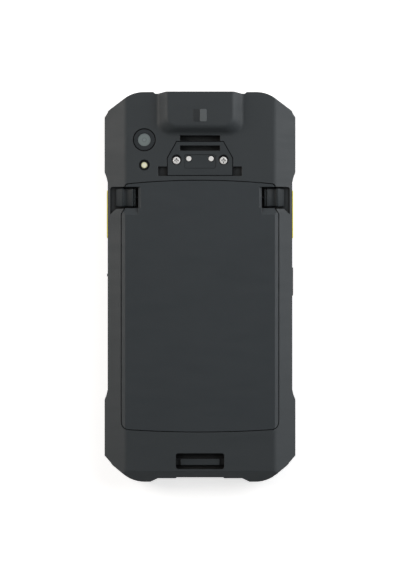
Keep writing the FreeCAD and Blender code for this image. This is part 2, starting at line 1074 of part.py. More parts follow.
def housing_ends(body):
    """The scan window, the charging port, the sound holes and the key openings in the sides."""
    seat = half_length - D.window_sink - D.window_thickness
    window = new_sketch(body, "window_seat_view", "XZ_Plane", -half_length)
    gap = D.window_gap
    add_rectangle(
        window,
        -D.window_half - gap,
        D.window_half + gap,
        D.window_low - gap,
        D.window_high + gap,
    )
    pocket(body, window, half_length - seat, "window_seat", turned=True)
    light = new_sketch(body, "window_light_view", "XZ_Plane", -half_length)
    lip = D.window_lip
    add_rectangle(
        light,
        lip - D.window_half,
        D.window_half - lip,
        D.window_low + lip,
        D.window_high - lip,
    )
    pocket(body, light, D.end_wall + 0.5, "window_light", turned=True)
    foot = -half_length + D.foot_height
    port = new_sketch(body, "port_view", "XZ_Plane", -foot - D.strap_inset - D.end_wall - 0.5)
    port_low = board_back - D.port_clearance
    port_high = board_back + D.port_lift + D.port_height + D.port_clearance
    reach = D.port_half + D.port_clearance
    add_rectangle(port, -reach, reach, port_low, port_high)
    for i in range(3):
        left = D.sound_hole_x + i * D.sound_hole_pitch
        add_rectangle(port, left, left + D.sound_hole, D.sound_hole_low, D.sound_hole_high)
    pocket(body, port, D.end_wall + D.strap_inset + 1, "port_and_sound_holes", turned=True)
    depth = half_width - inner_side + 1
    gap = D.key_gap
    right = new_sketch(body, "right_key_view", "YZ_Plane", half_width + 0.5)
    left = new_sketch(body, "left_key_view", "YZ_Plane", -half_width - 0.5)
    low_z, high_z = D.key_low_z - gap, D.key_high_z + gap
    add_rectangle(right, D.scan_key_low - gap, D.scan_key_high + gap, low_z, high_z)
    add_rectangle(right, D.power_key_low - gap, D.power_key_high + gap, low_z, high_z)
    add_rectangle(left, D.scan_key_low - gap, D.scan_key_high + gap, low_z, high_z)
    add_rectangle(left, D.rocker_low - gap, D.rocker_high + gap, low_z, high_z)
    pocket(body, right, depth, "right_key_openings")
    pocket(body, left, depth, "left_key_openings", turned=True)


def rear_housing():
    body = housing_shell()
    housing_rooms(body)
    housing_bay(body)
    housing_back(body)
    housing_ends(body)
    return finish(body)


# Screen side


def cut_corners(side, end, corner):
    """A rectangle about the middle of the case with its four corners cut off."""
    return mirrored(
        [(side - corner, end), (side, end - corner), (side, corner - end), (side - corner, -end)]
    )


def seal_outline(grow=0.0):
    """The seal ring's inner edge, or its outer edge when grown by the ring's width."""
    side, end = D.seal_inner + grow, D.seal_end + grow
    return cut_corners(side, end, D.seal_corner + grow * 0.6)


def glass_rectangle(body, name, half, half_long, corner, low, high, middle=0.0):
    raise_up(body, name, low, high, rectangles=[(-half, half, middle - half_long, middle + half_long)])
    round_edges(body, corner, upright, f"{name}_corners")


def front_bezel():
    body = new_body("front_bezel")
    case_block(body, size(0), D.front_height)
    half = D.glass_half + D.glass_gap
    half_long = D.glass_half_length + D.glass_gap
    sink(body, "glass_seat", size(0), glass_back, rectangles=[(-half, half, -half_long, half_long)])
    inside = upright_in(-half, half, -half_long, half_long)
    round_edges(body, D.glass_corner + D.glass_gap, inside, "glass_seat_corners")
    round_edges(
        body,
        D.front_edge_radius,
        lambda e: level_at(0)(e)
        and (
            max(abs(e.BoundBox.XMin), abs(e.BoundBox.XMax)) > half.value + 0.1
            or max(abs(e.BoundBox.YMin), abs(e.BoundBox.YMax)) > half_long.value + 0.1
        ),
        "front_edge",
        "Chamfer",
    )
    sink(
        body,
        "display_opening",
        glass_back,
        D.front_height,
        outlines=[(cut_corners(D.ledge_half, D.ledge_half_length, D.ledge_corner),)],
    )
    sink(
        body,
        "seal_groove",
        D.front_height - D.seal_height,
        D.front_height,
        outlines=[(seal_outline(D.seal_width),), (seal_outline(),)],
    )
    return finish(body)


def housing_seal():
    body = new_body("housing_seal")
    raise_up(
        body,
        "seal_ring",
        D.front_height - D.seal_height,
        D.front_height,
        outlines=[(seal_outline(D.seal_width),), (seal_outline(),)],
    )
    return finish(body)


def touch_glass():
    body = new_body("touch_glass")
    glass_rectangle(
        body, "pane", D.glass_half, D.glass_half_length, D.glass_corner, D.glass_sink, glass_back
    )
    slot = D.receiver_slot / 2
    sink(
        body,
        "receiver_slot",
        D.glass_sink,
        glass_back,
        rectangles=[
            (1 - D.receiver_half, D.receiver_half - 1, D.receiver_y - slot, D.receiver_y + slot)
        ],
    )
    return finish(body)


def display_parts():
    low = D.display_y - D.display_half_length
    high = D.display_y + D.display_half_length
    face = glass_back + D.gasket_height
    named(
        box("display_panel", -D.display_half, D.display_half, low, high, face, D.front_height),
        "display_panel",
    )
    inner = D.display_half - D.gasket_width
    outside = box("gasket_outside", -D.display_half, D.display_half, low, high, glass_back, face)
    inside = box(
        "gasket_inside",
        -inner,
        inner,
        low + D.gasket_width,
        high - D.gasket_width,
        glass_back,
        face,
    )
    finish(cut("display_gasket", outside, [inside]))
    slot = D.receiver_y - 2
    named(
        box(
            "receiver_speaker",
            -D.receiver_half,
            D.receiver_half,
            slot,
            D.receiver_y + 2,
            glass_back,
            D.front_height - 0.2,
        ),
        "receiver_speaker",
    )
    camera = rod(
        "front_camera",
        D.front_camera_radius,
        -D.front_camera_x,
        D.receiver_y,
        glass_back,
        D.front_height - 0.2,
    )
    named(camera, "front_camera")


def eight_sides(x, y, radius):
    """An octagon about a point, as wide as a circle of the radius."""
    near = radius * 0.4142
    return [
        (x - near, y + radius),
        (x + near, y + radius),
        (x + radius, y + near),
        (x + radius, y - near),
        (x + near, y - radius),
        (x - near, y - radius),
        (x - radius, y - near),
        (x - radius, y + near),
    ]


def mid_frame():
    body = new_body("mid_frame")
    raise_up(
        body,
        "frame_plate",
        D.front_height,
        frame_back,
        rectangles=[(-D.frame_half, D.frame_half, -D.frame_half_length, D.frame_half_length)],
    )
    round_edges(body, D.frame_corner, upright, "frame_corners", "Chamfer")
    raise_up(
        body,
        "screw_bosses",
        frame_back,
        floor_under,
        outlines=[(eight_sides(x, y, D.boss_radius),) for x, y in boss_spots],
    )
    sink(
        body,
        "boss_bores",
        frame_back,
        floor_under,
        circles=[(x, y, D.housing_screw) for x, y in boss_spots],
    )
    return finish(body)


def housing_screws():
    screws = []
    for i, (x, y) in enumerate(boss_spots):
        shank = rod(f"housing_shank_{i}", D.housing_screw, x, y, frame_back, bay_base)
        top = bay_base
        head = rod(
            f"housing_head_{i}", D.housing_screw_head, x, y, top - D.housing_screw_sink, top
        )
        screws += [shank, head]
    finish(fuse("housing_screws", screws))


# Electronics


def boards():
    low, high = D.main_board_low, D.main_board_high
    clear = D.boss_radius + 0.4
    plate = box("main_board_plate", -D.board_half, D.board_half, low, high, board_front, board_back)
    holes = [
        box(f"board_hole_{i}", x - clear, x + clear, y - clear, y + clear, board_front - 1, board_back + 1)
        for i, (x, y) in enumerate(boss_spots)
        if y.value > low.value
    ]
    finish(cut("main_board", plate, holes))
    cans = [
        (-20.0, -2.0, 28.0, 44.0),
        (2.0, 20.0, 22.0, 44.0),
        (-22.0, 22.0, -6.0, 16.0),
    ]
    cans = [
        box(f"shield_{i}", size(x0), size(x1), size(y0), size(y1), board_back, board_back + D.shield_height)
        for i, (x0, x1, y0, y1) in enumerate(cans)
    ]
    finish(fuse("main_board_shields", cans))
    lower = D.lower_board_high
    named(
        box(
            "lower_board",
            2 - D.board_half + D.inner_corner_x,
            D.board_half - D.inner_corner_x - 2,
            -D.lower_board_low,
            lower,
            board_front,
            board_back,
        ),
        "lower_board",
    )
    flex_top = board_front
    named(
        box(
            "board_flex",
            -D.flex_width * 1.5,
            -D.flex_width / 2,
            lower - 4,
            low + 4,
            flex_top - D.flex_thickness,
            flex_top,
        ),
        "board_flex",
    )


def charging_port():
    face = -half_length + D.foot_height + D.strap_inset + 0.3
    low = board_back
    height = D.port_height + D.port_lift
    wall = D.port_wall
    shell = box("port_shell", -D.port_half, D.port_half, face, face + D.port_depth, low, low + height)
    mouth = box(
        "port_mouth",
        wall - D.port_half,
        D.port_half - wall,
        face - 1,
        face + D.port_depth - 1,
        low + D.port_lift + wall,
        low + height - wall,
    )
    middle = low + D.port_lift + D.port_height / 2
    tongue = box(
        "port_tongue",
        1.2 - D.port_half,
        D.port_half - 1.2,
        face + 1,
        face + D.port_depth - 1,
        middle - 0.35,
        middle + 0.35,
    )
    finish(fuse("usb_c_port", [cut("port_tube", shell, [mouth]), tongue]))


def scanner():
    floor = board_back
    bracket_low = frame_back + 0.4
    plate = box(
        "bracket_plate",
        -D.engine_half - 1,
        D.engine_half + 1,
        D.engine_low,
        D.engine_high - 1,
        bracket_low,
        floor,
    )
    wings = [
        box(
            f"bracket_wing_{i}",
            left,
            left + 0.8,
            D.engine_low,
            D.engine_high - 2,
            floor,
            floor + D.engine_height / 2,
        )
        for i, left in enumerate((-D.engine_half - 1, D.engine_half + 0.2))
    ]
    finish(fuse("scan_engine_bracket", [plate] + wings))
    block = box(
        "engine_block",
        -D.engine_half,
        D.engine_half,
        D.engine_low,
        D.engine_high - 1,
        floor,
        floor + D.engine_height,
    )
    middle = floor + D.engine_height / 2
    nose = lying_rod(
        "engine_nose", D.engine_lens, D.engine_half * -0.35, D.engine_high - 2, middle, size(2), "Y"
    )
    lamp = box(
        "engine_lamp",
        D.engine_half * 0.2,
        D.engine_half * 0.8,
        D.engine_high - 1,
        D.engine_high,
        middle - 2.5,
        middle + 2.5,
    )
    finish(fuse("scan_engine", [block, nose, lamp]))
    face = half_length - D.window_sink
    named(
        box(
            "scan_window",
            -D.window_half,
            D.window_half,
            face - D.window_thickness,
            face,
            D.window_low,
            D.window_high,
        ),
        "scan_window",
    )


def cameras():
    x, y = -D.camera_x, D.camera_y
    half = D.camera_block / 2
    seat = back - D.camera_recess_depth
    base = box("camera_base", x - half, x + half, y - half, y + half, board_back, seat - 2.2)
    barrel = rod("camera_barrel", D.camera_barrel, x, y, seat - 2.2, seat - 0.4)
    finish(fuse("rear_camera", [base, barrel]))
    outer = D.camera_recess - D.camera_groove
    lens_top = back - D.camera_lens_sink
    lens_low = lens_top - D.camera_lens_thick
    ring = new_body("camera_ring")
    raise_up(ring, "ring", seat, back, circles=[(x, y, outer), (x, y, D.camera_lip)])
    sink(ring, "lens_seat", lens_low, back, circles=[(x, y, D.camera_window)])
    finish(ring)
    named(rod("camera_lens", D.camera_window, x, y, lens_low, lens_top), "camera_lens")
    flash_top = back - D.flash_sink
    flash_low = flash_top - D.flash_depth
    bezel = new_body("flash_bezel")
    raise_up(
        bezel,
        "flash_ring",
        flash_low,
        flash_top,
        circles=[(x, D.flash_y, D.flash_hole), (x, D.flash_y, D.flash_lens)],
    )
    finish(bezel)
    lens = rod("flash_lens", D.flash_lens, x, D.flash_y, flash_low, flash_top)
    named(lens, "flash_lens")
    named(
        box("flash_led", x - 1.2, x + 1.2, D.flash_y - 1.2, D.flash_y + 1.2, board_back, flash_low),
        "flash_led",
    )


def small_inner_parts():
    ceiling = D.front_height + D.lower_room_height
    named(
        box(
            "loudspeaker",
            D.recess_half,
            inner_side - D.inner_corner_x - 2.5,
            -D.recess_low + 0.5,
            -D.battery_bottom - D.battery_bottom_bow - D.seam - D.tab_reach - D.wall - 1,
            board_back,
            ceiling - 0.4,
        ),
        "loudspeaker",
    )
    radius = size(1.7)
    motor = lying_rod(
        "vibration_motor",
        radius,
        D.inner_corner_x - inner_side + 3.5,
        -D.bar_high + 2,
        board_back + radius,
        size(9.0),
        "X",
    )
    named(motor, "vibration_motor")
    roof = back - D.back_wall
    named(
        box("antenna", D.antenna_left, D.antenna_right, D.antenna_low, D.antenna_high, roof - 0.4, roof),
        "antenna",
    )
    named(
        box(
            "battery_connector",
            -D.connector_half,
            D.connector_half,
            D.battery_top - 3.5,
            D.battery_top - 0.9,
            bay_base,
            battery_base + 0.9,
        ),
        "battery_connector",
    )
    bar_top = back - D.bar_drop
    bar = new_body("strap_bar")
    reach = D.recess_half + D.bar_seat
    ends = bar_top - D.bar_end_drop
    raise_up(bar, "bar", bar_top - D.bar_height, ends, rectangles=[(-reach, reach, -D.bar_low, -D.bar_high)])
    land = D.bar_land_half
    raise_up(bar, "land", ends, bar_top, rectangles=[(-land, land, -D.bar_low, -D.bar_high)])
    finish(bar)


# Strap plate and its contacts


def strap_plate():
    body = new_body("strap_plate")
    raise_up(body, "plate", plate_seat, back, outlines=[(mirrored(plate_outline()),)])
    sink(
        body,
        "strap_slot",
        plate_seat,
        back,
        rectangles=[(-D.slot_half, D.slot_half, D.slot_low, D.slot_bar_low)],
    )
    sink(
        body,
        "contact_opening",
        plate_seat,
        back,
        rectangles=[(-D.contact_half, D.contact_half, D.contact_low, D.contact_high)],
    )
    inside = upright_in(-D.contact_half, D.contact_half, D.contact_low, D.contact_high)
    round_edges(body, D.contact_corner, inside, "contact_corners")
    spots = [(hand * D.plate_screw_x, D.plate_screw_y) for hand in (1, -1)]
    sink(
        body, "screw_holes", plate_seat, back, circles=[(x, y, D.plate_screw_shank) for x, y in spots]
    )
    sunk = back - D.plate_screw_sink_depth
    offset = D.plate_sink_offset
    sink(
        body, "screw_sinks", sunk, back, circles=[(x, y + offset, D.plate_screw_sink) for x, y in spots]
    )
    finish(body)
    screws = []
    for i, (x, y) in enumerate(spots):
        shank_low = sunk - D.plate_screw_length
        screws.append(rod(f"plate_shank_{i}", D.plate_screw_shank, x, y, shank_low, sunk))
        screws.append(rod(f"plate_head_{i}", D.plate_screw_head, x, y, sunk, back - 0.15))
    finish(fuse("strap_plate_screws", screws))


def contact_block():
    body = new_body("contact_block")
    top = back - D.contact_sink
    raise_up(
        body,
        "block",
        contact_base,
        top,
        rectangles=[(-D.contact_half, D.contact_half, D.contact_low, D.contact_high)],
    )
    round_edges(body, D.contact_corner, upright, "block_corners")
    spots = [(hand * D.contact_x, D.contact_y) for hand in (1, -1)]
    pin_low = top - D.contact_pin
    sink(body, "contact_wells", pin_low, top, circles=[(x, y, D.contact_ring) for x, y in spots])
    finish(body)
    pins = [rod(f"pin_{i}", D.contact_radius, x, y, pin_low, top) for i, (x, y) in enumerate(spots)]
    finish(fuse("rear_contacts", pins))


# Battery and latches


def battery_cover():
    body = new_body("battery_cover")
    raise_up(body, "cover_block", tray_top, above, outlines=[battery_outline()])
    battery_corners(body)
    end = new_sketch(body, "cover_top_view", "XZ_Plane")
    reach = half_width + 1
    add_outline(
        end,
        [
            (-reach, back - (reach - flat_half) * slope),
            (-flat_half, back),
            (flat_half, back),
            (reach, back - (reach - flat_half) * slope),
            (reach, above + 1),
            (-reach, above + 1),
        ],
    )
    pocket(body, end, name="cover_top_cut")
    half = D.cell_half + D.cell_gap
    sink(
        body,
        "cell_room",
        tray_top,
        back - D.cover_wall,
        rectangles=[(-half, half, -D.cell_bottom - D.cell_gap, D.cell_top + D.cell_gap)],
    )
    sink(
        body,
        "circuit_room",
        tray_top,
        back - D.cover_wall,
        rectangles=[
            (
                D.cover_wall + D.spring_seat - D.pocket_inner,
                D.pocket_inner - D.cover_wall - D.spring_seat,
                D.cell_top + D.cell_gap,
                D.latch_high,
            )
        ],
    )
    sink(
        body,
        "latch_pockets",
        tray_top,
        above,
        rectangles=[
            (D.pocket_inner, D.battery_half + 1, D.pocket_low, D.pocket_high),
            (-D.battery_half - 1, -D.pocket_inner, D.pocket_low, D.pocket_high),
        ],
    )
    round_edges(
        body,
        D.pocket_bevel,
        lambda e: level_at(back)(e)
        and along_y(e)
        and near(abs(e.BoundBox.XMin), D.pocket_inner),
        "pocket_bevels",
        "Chamfer",
    )
    for hand, side in ((1, "right"), (-1, "left")):
        seat = new_sketch(body, f"spring_seat_view_{side}", "YZ_Plane", hand * (D.pocket_inner + 0.2))
        add_circle(seat, latch_middle, spring_middle, D.spring_radius + D.spring_gap)
        pocket(body, seat, D.spring_seat + 0.2, f"spring_seat_{side}", turned=hand < 0)
        dish = new_sketch(body, f"finger_dish_view_{side}", "YZ_Plane", hand * D.pocket_inner)
        points = [(D.dish_low, back), (D.pocket_low + 0.1, back), (D.pocket_low + 0.1, back - D.dish_depth)]
        add_outline(dish, points)
        width = D.battery_half + 1 - D.pocket_inner
        pocket(body, dish, width, f"finger_dish_{side}", turned=hand > 0)
    return finish(body)


def battery_tray():
    body = new_body("battery_tray")
    raise_up(
        body,
        "tray_block",
        battery_base,
        tray_top,
        outlines=[battery_outline(0.0, D.tray_setback)],
    )
    battery_corners(body)
    end = -D.battery_bottom
    tab_half = D.tab_width / 2
    raise_up(
        body,
        "tabs",
        tray_top - D.tab_height,
        tray_top,
        rectangles=[
            (
                hand * D.tab_x - tab_half,
                hand * D.tab_x + tab_half,
                end - D.battery_bottom_bow - D.seam - D.tab_reach + 0.4,
                end + 1,
            )
            for hand in (1, -1)
        ],
    )
    half = D.cell_half + D.cell_gap
    sink(
        body,
        "cell_room",
        battery_base + D.tray_floor,
        tray_top,
        rectangles=[(-half, half, -D.cell_bottom - D.cell_gap, D.cell_top + D.cell_gap)],
    )
    sink(
        body,
        "connector_room",
        battery_base,
        battery_base + D.tab_height + 0.3,
        rectangles=[(size(-10.0), size(10.0), D.battery_top - 5, D.battery_top + 3)],
    )
    finish(body)
    cell = box(
        "battery_cell",
        -D.cell_half,
        D.cell_half,
        -D.cell_bottom,
        D.cell_top,
        battery_base + D.tray_floor,
        back - D.cover_wall,
    )
    named(cell, "battery_cell")
    circuit = box(
        "battery_circuit",
        -D.circuit_half,
        D.circuit_half,
        D.cell_top + 2,
        D.latch_high - 1,
        tray_top,
        tray_top + 1.2,
    )
    named(circuit, "battery_circuit")
    contacts = [
        box(
            f"battery_pad_{i}",
            size(-7.0 + 3.0 * i),
            size(-5.0 + 3.0 * i),
            D.battery_top - 3.2,
            D.battery_top - 1.2,
            battery_base + D.tab_height + 0.1,
            battery_base + D.tab_height + 0.3,
        )
        for i in range(5)
    ]
    finish(fuse("battery_contacts", contacts))


def latch(label, hand):
    """A sliding latch: a dished thumb block, a ridge and a sloping hook beyond the battery's side."""
    body = new_body(f"latch_{label}")
    low = tray_top + D.latch_gap
    top = back - D.latch_top_drop
    inner, outer = D.latch_inner, D.latch_outer
    face = new_sketch(body, "latch_view", "XZ_Plane", -D.latch_high)
    add_outline(
        face,
        [
            (hand * inner, low),
            (hand * inner, top),
            (hand * (D.ridge_inner - D.latch_foot / 2), top - D.latch_dish),
            (hand * D.ridge_inner, top),
            (hand * D.ridge_outer, top),
            (hand * outer, low + D.latch_foot),
            (hand * outer, low),
        ],
    )
    pad(body, face, D.latch_high - D.latch_low, "thumb_block")
    seat = new_sketch(body, "spring_bore_view", "YZ_Plane", hand * inner)
    add_circle(seat, latch_middle, spring_middle, D.spring_radius)
    pocket(body, seat, D.spring_in_latch, "spring_bore", turned=hand > 0)
    finish(body)
    length = D.spring_in_latch + (inner - D.pocket_inner) + D.spring_gap
    start = inner + D.spring_in_latch - length if hand > 0 else -inner - D.spring_in_latch
    wire, hollow = [
        lying_rod(f"spring_{part}_{label}", radius, start, latch_middle, spring_middle, length, "X")
        for part, radius in (("wire", D.spring_radius), ("hollow", D.spring_bore))
    ]
    finish(cut(f"latch_spring_{label}", wire, [hollow]))


# Keys in the long sides


def key_frame(body, hand, low, high, name, inner, outer):
    """Pads a key's block from its inner to its outer face."""
    start = hand * inner
    sketch = new_sketch(body, f"{name}_view", "YZ_Plane", start if hand > 0 else -outer)
    add_rectangle(sketch, low, high, D.key_low_z, D.key_high_z)
    pad(body, sketch, outer - inner, name)


def push_key(label, hand, low, high):
    body = new_body(label)
    inner = inner_side - D.key_flange_gap
    outer = rail + D.key_proud
    key_frame(body, hand, low, high, "cap", inner, outer)
    round_edges(
        body,
        D.key_corner,
        lambda e: e.BoundBox.YLength < 1e-4 and e.BoundBox.ZLength < 1e-4,
        "cap_corners",
    )
    flange = new_sketch(
        body, "flange_view", "YZ_Plane", inner - D.key_flange if hand > 0 else -inner
    )
    rim = D.key_flange
    add_rectangle(flange, low - rim, high + rim, D.key_low_z - rim, D.key_high_z + rim * 0.5)
    pad(body, flange, D.key_flange, "flange")
    face = hand * outer
    round_edges(
        body,
        D.key_proud * 0.9,
        lambda e: near(e.BoundBox.XMin, face) and near(e.BoundBox.XMax, face),
        "cap_edge",
        "Chamfer",
    )
    finish(body)


def volume_rocker():
    body = new_body("volume_rocker")
    inner = rail - D.rocker_depth
    key_frame(body, -1, D.rocker_low, D.rocker_high, "rocker", inner, rail)
    round_edges(
        body,
        D.key_corner,
        lambda e: e.BoundBox.YLength < 1e-4 and e.BoundBox.ZLength < 1e-4,
        "rocker_corners",
    )
    middle = (D.rocker_low + D.rocker_high) / 2
    nub = new_sketch(body, "nub_view", "YZ_Plane", -rail - D.rocker_nub_proud)
    half = D.rocker_nub / 2
    add_rectangle(nub, middle - half, middle + half, D.key_low_z + 0.6, D.key_high_z - 0.6)
    pad(body, nub, D.rocker_nub_proud + 0.2, "nub")
    finish(body)


def side_switches(label, hand, keys):
    """The flexible strip along the bay wall with a dome switch behind each key."""
    wall = bay_side
    strip_face = wall + D.flex_thickness
    left = wall if hand > 0 else -strip_face
    strip = box(
        f"switch_strip_{label}",
        left,
        left + D.flex_thickness,
        D.switch_strip_low,
        D.switch_strip_high,
        D.key_low_z,
        D.key_high_z,
    )
    middle = (D.key_low_z + D.key_high_z) / 2
    start = strip_face if hand > 0 else -strip_face - D.dome_height
    half = D.dome_radius
    switches = [
        box(
            f"switch_{label}_{i}",
            start,
            start + D.dome_height,
            along - half,
            along + half,
            middle - half,
            middle + half,
        )
        for i, along in enumerate(keys)
    ]
    finish(fuse(f"side_switches_{label}", [strip] + switches))


rear_housing()
front_bezel()
housing_seal()
touch_glass()
display_parts()
mid_frame()
housing_screws()
boards()
charging_port()
scanner()
cameras()
small_inner_parts()
strap_plate()
contact_block()
battery_cover()
battery_tray()
latch("right", 1)
latch("left", -1)
push_key("scan_key_right", 1, D.scan_key_low, D.scan_key_high)
push_key("scan_key_left", -1, D.scan_key_low, D.scan_key_high)
push_key("power_key", 1, D.power_key_low, D.power_key_high)
volume_rocker()
scan_middle = (D.scan_key_low + D.scan_key_high) / 2
side_switches("right", 1, [scan_middle, (D.power_key_low + D.power_key_high) / 2])
side_switches("left", -1, [scan_middle, D.rocker_low + 3, D.rocker_high - 3])


def export_pieces():
    doc.recompute()
    for thing in doc.Objects:
        if "Invalid" in thing.State or "Error" in thing.State:
            raise RuntimeError(f"{thing.Label} failed: {thing.State}")
    os.makedirs("parts", exist_ok=True)
    for piece in pieces:
        if piece.Shape.isNull() or not piece.Shape.isValid():
            raise RuntimeError(f"{piece.Label} has no sound shape")
        piece.Shape.exportStep(f"parts/{piece.Label}.step")
        print(piece.Label, round(piece.Shape.Volume, 2), len(piece.Shape.Solids))


export_pieces()
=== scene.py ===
import math

import bmesh
import bpy
from mathutils import Matrix, Vector


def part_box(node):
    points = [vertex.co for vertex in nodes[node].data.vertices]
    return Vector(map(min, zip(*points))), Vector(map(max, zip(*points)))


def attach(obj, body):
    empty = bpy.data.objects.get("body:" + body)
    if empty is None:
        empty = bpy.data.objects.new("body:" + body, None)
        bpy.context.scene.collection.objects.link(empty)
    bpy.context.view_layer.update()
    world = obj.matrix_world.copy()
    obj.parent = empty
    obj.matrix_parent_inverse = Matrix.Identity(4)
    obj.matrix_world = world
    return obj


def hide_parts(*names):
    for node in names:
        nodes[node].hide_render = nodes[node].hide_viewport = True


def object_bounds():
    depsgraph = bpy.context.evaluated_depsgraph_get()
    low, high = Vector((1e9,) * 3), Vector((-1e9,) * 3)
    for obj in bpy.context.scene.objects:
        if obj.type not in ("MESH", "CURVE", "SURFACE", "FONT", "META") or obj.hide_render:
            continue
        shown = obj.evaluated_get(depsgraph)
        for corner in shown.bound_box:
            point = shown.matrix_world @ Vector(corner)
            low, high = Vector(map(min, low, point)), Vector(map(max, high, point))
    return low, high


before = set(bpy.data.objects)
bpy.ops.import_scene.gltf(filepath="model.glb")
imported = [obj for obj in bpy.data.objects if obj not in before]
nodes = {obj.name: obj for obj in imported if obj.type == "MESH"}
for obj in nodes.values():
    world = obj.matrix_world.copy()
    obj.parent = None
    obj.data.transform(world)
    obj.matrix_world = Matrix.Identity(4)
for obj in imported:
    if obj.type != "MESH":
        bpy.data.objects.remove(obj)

# A handheld barcode terminal lies on its screen, seen straight from above its back. The CAD nodes
# keep their meshes and get their finishes here, and trim that is too fine for them is added.
MM = 0.001
cad_low, cad_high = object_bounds()

# How the photograph frames the terminal, in its own pixels
IMAGE_HEIGHT = 570
CENTRE_ROW = 287.1
MM_PER_PIXEL = 0.41405
CAMERA_HEIGHT = 1.3
SENSOR = 36.0
SILHOUETTE_Z = 9.0 * MM

# Colours of the mouldings, as linear light
CHARCOAL = (0.0300, 0.0365, 0.0410)
BATTERY_CHARCOAL = (0.0290, 0.0360, 0.0415)
PLATE_CHARCOAL = (0.0295, 0.0360, 0.0405)
LATCH_CHARCOAL = (0.022, 0.027, 0.030)
TRAY_CHARCOAL = (0.024, 0.029, 0.033)
TRIM_GREY = (0.024, 0.029, 0.033)
BEZEL_BLACK = (0.016, 0.018, 0.020)
NEAR_BLACK = (0.010, 0.011, 0.012)
SEAL_BLACK = (0.005, 0.006, 0.007)
DISPLAY_BLACK = (0.012, 0.013, 0.015)
SCAN_YELLOW = (0.88, 0.76, 0.03)
AMBER = (0.30, 0.13, 0.03)
MARK_DARK = (0.020, 0.024, 0.027)
MARK_PALE = (0.098, 0.110, 0.116)

# Colours of the metals
STEEL = (0.62, 0.62, 0.61)
SCREW_STEEL = (0.98, 0.98, 0.97)
SPRING_STEEL = (0.05, 0.05, 0.055)
PORT_STEEL = (0.36, 0.36, 0.37)
CAST_ALLOY = (0.50, 0.51, 0.52)
GOLD = (0.86, 0.80, 0.62)
CONTACT_SILVER = (1.0, 1.0, 0.98)

# Scratches that run no way in particular
EVEN = (1.0, 1.0, 1.0)

# Round windows, as (share of the rim, colour) from the centre out
LENS_STOPS = [
    (0.0, (0.21, 0.25, 0.26)),
    (0.16, (0.24, 0.27, 0.275)),
    (0.22, (0.17, 0.205, 0.21)),
    (0.50, (0.21, 0.25, 0.25)),
    (0.92, (0.19, 0.225, 0.23)),
    (1.0, (0.05, 0.055, 0.06)),
]
FLASH_STOPS = [(0.0, (1.0, 1.0, 0.92)), (0.6, (0.98, 0.97, 0.70)), (1.0, (0.55, 0.54, 0.34))]

# The latch thumb's section in mm: its crest from the inner end out, as (out from the inner end,
# down from the top), then its toe, as (in from the outer end, up from the foot)
LATCH_CREST = [
    (0.00, 0.45),
    (0.12, 0.15),
    (0.40, 0.00),
    (0.75, 0.05),
    (1.40, 0.42),
    (2.20, 0.78),
    (3.00, 0.92),
    (3.60, 0.88),
    (3.95, 0.66),
    (4.12, 0.08),
    (4.24, 0.00),
    (5.00, 0.00),
    (5.12, 0.06),
    (5.30, 0.42),
    (5.75, 0.72),
]
LATCH_TOE = [(0.25, 1.05), (0.06, 0.80), (0.00, 0.55), (0.00, 0.00)]

# Studio lamps, as name, place, size, power and colour; all face the terminal
LAMPS = [
    ("warm_left", (-0.60, 0.22, 0.42), (0.35, 0.7), 3.05, (1.0, 0.94, 0.88)),
    ("cool_right", (0.66, 0.26, 0.30), (0.6, 0.8), 4.3, (0.98, 0.99, 1.0)),
    ("top_soft", (0.22, 0.26, 0.36), (0.5, 0.3), 0.46, (1.0, 1.0, 1.0)),
]

FLOAT, VECTOR = "NodeSocketFloat", "NodeSocketVector"


# Node tools


def feed(tree, socket, value):
    """Links a socket to another one, or gives it a plain value."""
    if isinstance(value, bpy.types.NodeSocket):
        tree.links.new(value, socket)
    else:
        socket.default_value = value


def add(tree, kind, inputs=None, **settings):
    """A node with its settings; inputs maps a socket to a value or to another socket."""
    node = tree.nodes.new(kind)
    for key, value in settings.items():
        setattr(node, key, value)
    for key, value in (inputs or {}).items():
        feed(tree, node.inputs[key], value)
    return node


def maths(tree, operation, first, second=0.0, clamp=False):
    settings = {"operation": operation, "use_clamp": clamp}
    return add(tree, "ShaderNodeMath", {0: first, 1: second}, **settings).outputs[0]


def blend_colour(tree, factor, first, second):
    """Mixes two colours, each given as a socket or as three numbers."""
    node = add(tree, "ShaderNodeMix", data_type="RGBA")
    for key, value in ((0, factor), (6, first), (7, second)):
        if isinstance(value, tuple):
            value = (*value, 1.0)
        feed(tree, node.inputs[key], value)
    return node.outputs[2]


def noise(tree, where, scale, detail, roughness=0.5):
    """A slow or fine noise, from 0 to 1."""
    inputs = {"Vector": where, "Scale": scale, "Detail": detail, "Roughness": roughness}
    return add(tree, "ShaderNodeTexNoise", inputs).outputs["Fac"]


def scaled(colour, factor):
    return tuple(channel * factor for channel in colour)


def new_group(name, inputs, outputs):
    """A shader node group with named sockets; inputs maps a name to its kind and first value."""
    tree = bpy.data.node_groups.new(name, "ShaderNodeTree")
    for label, (kind, value) in inputs.items():
        socket = tree.interface.new_socket(label, in_out="INPUT", socket_type=kind)
        if value is not None:
            socket.default_value = value
    for label, kind in outputs.items():
        tree.interface.new_socket(label, in_out="OUTPUT", socket_type=kind)
    into, out = tree.nodes.new("NodeGroupInput"), tree.nodes.new("NodeGroupOutput")
    return tree, into.outputs, out.inputs


def use_group(tree, group, inputs):
    return add(tree, "ShaderNodeGroup", inputs, node_tree=group).outputs


# Effects that several finishes share


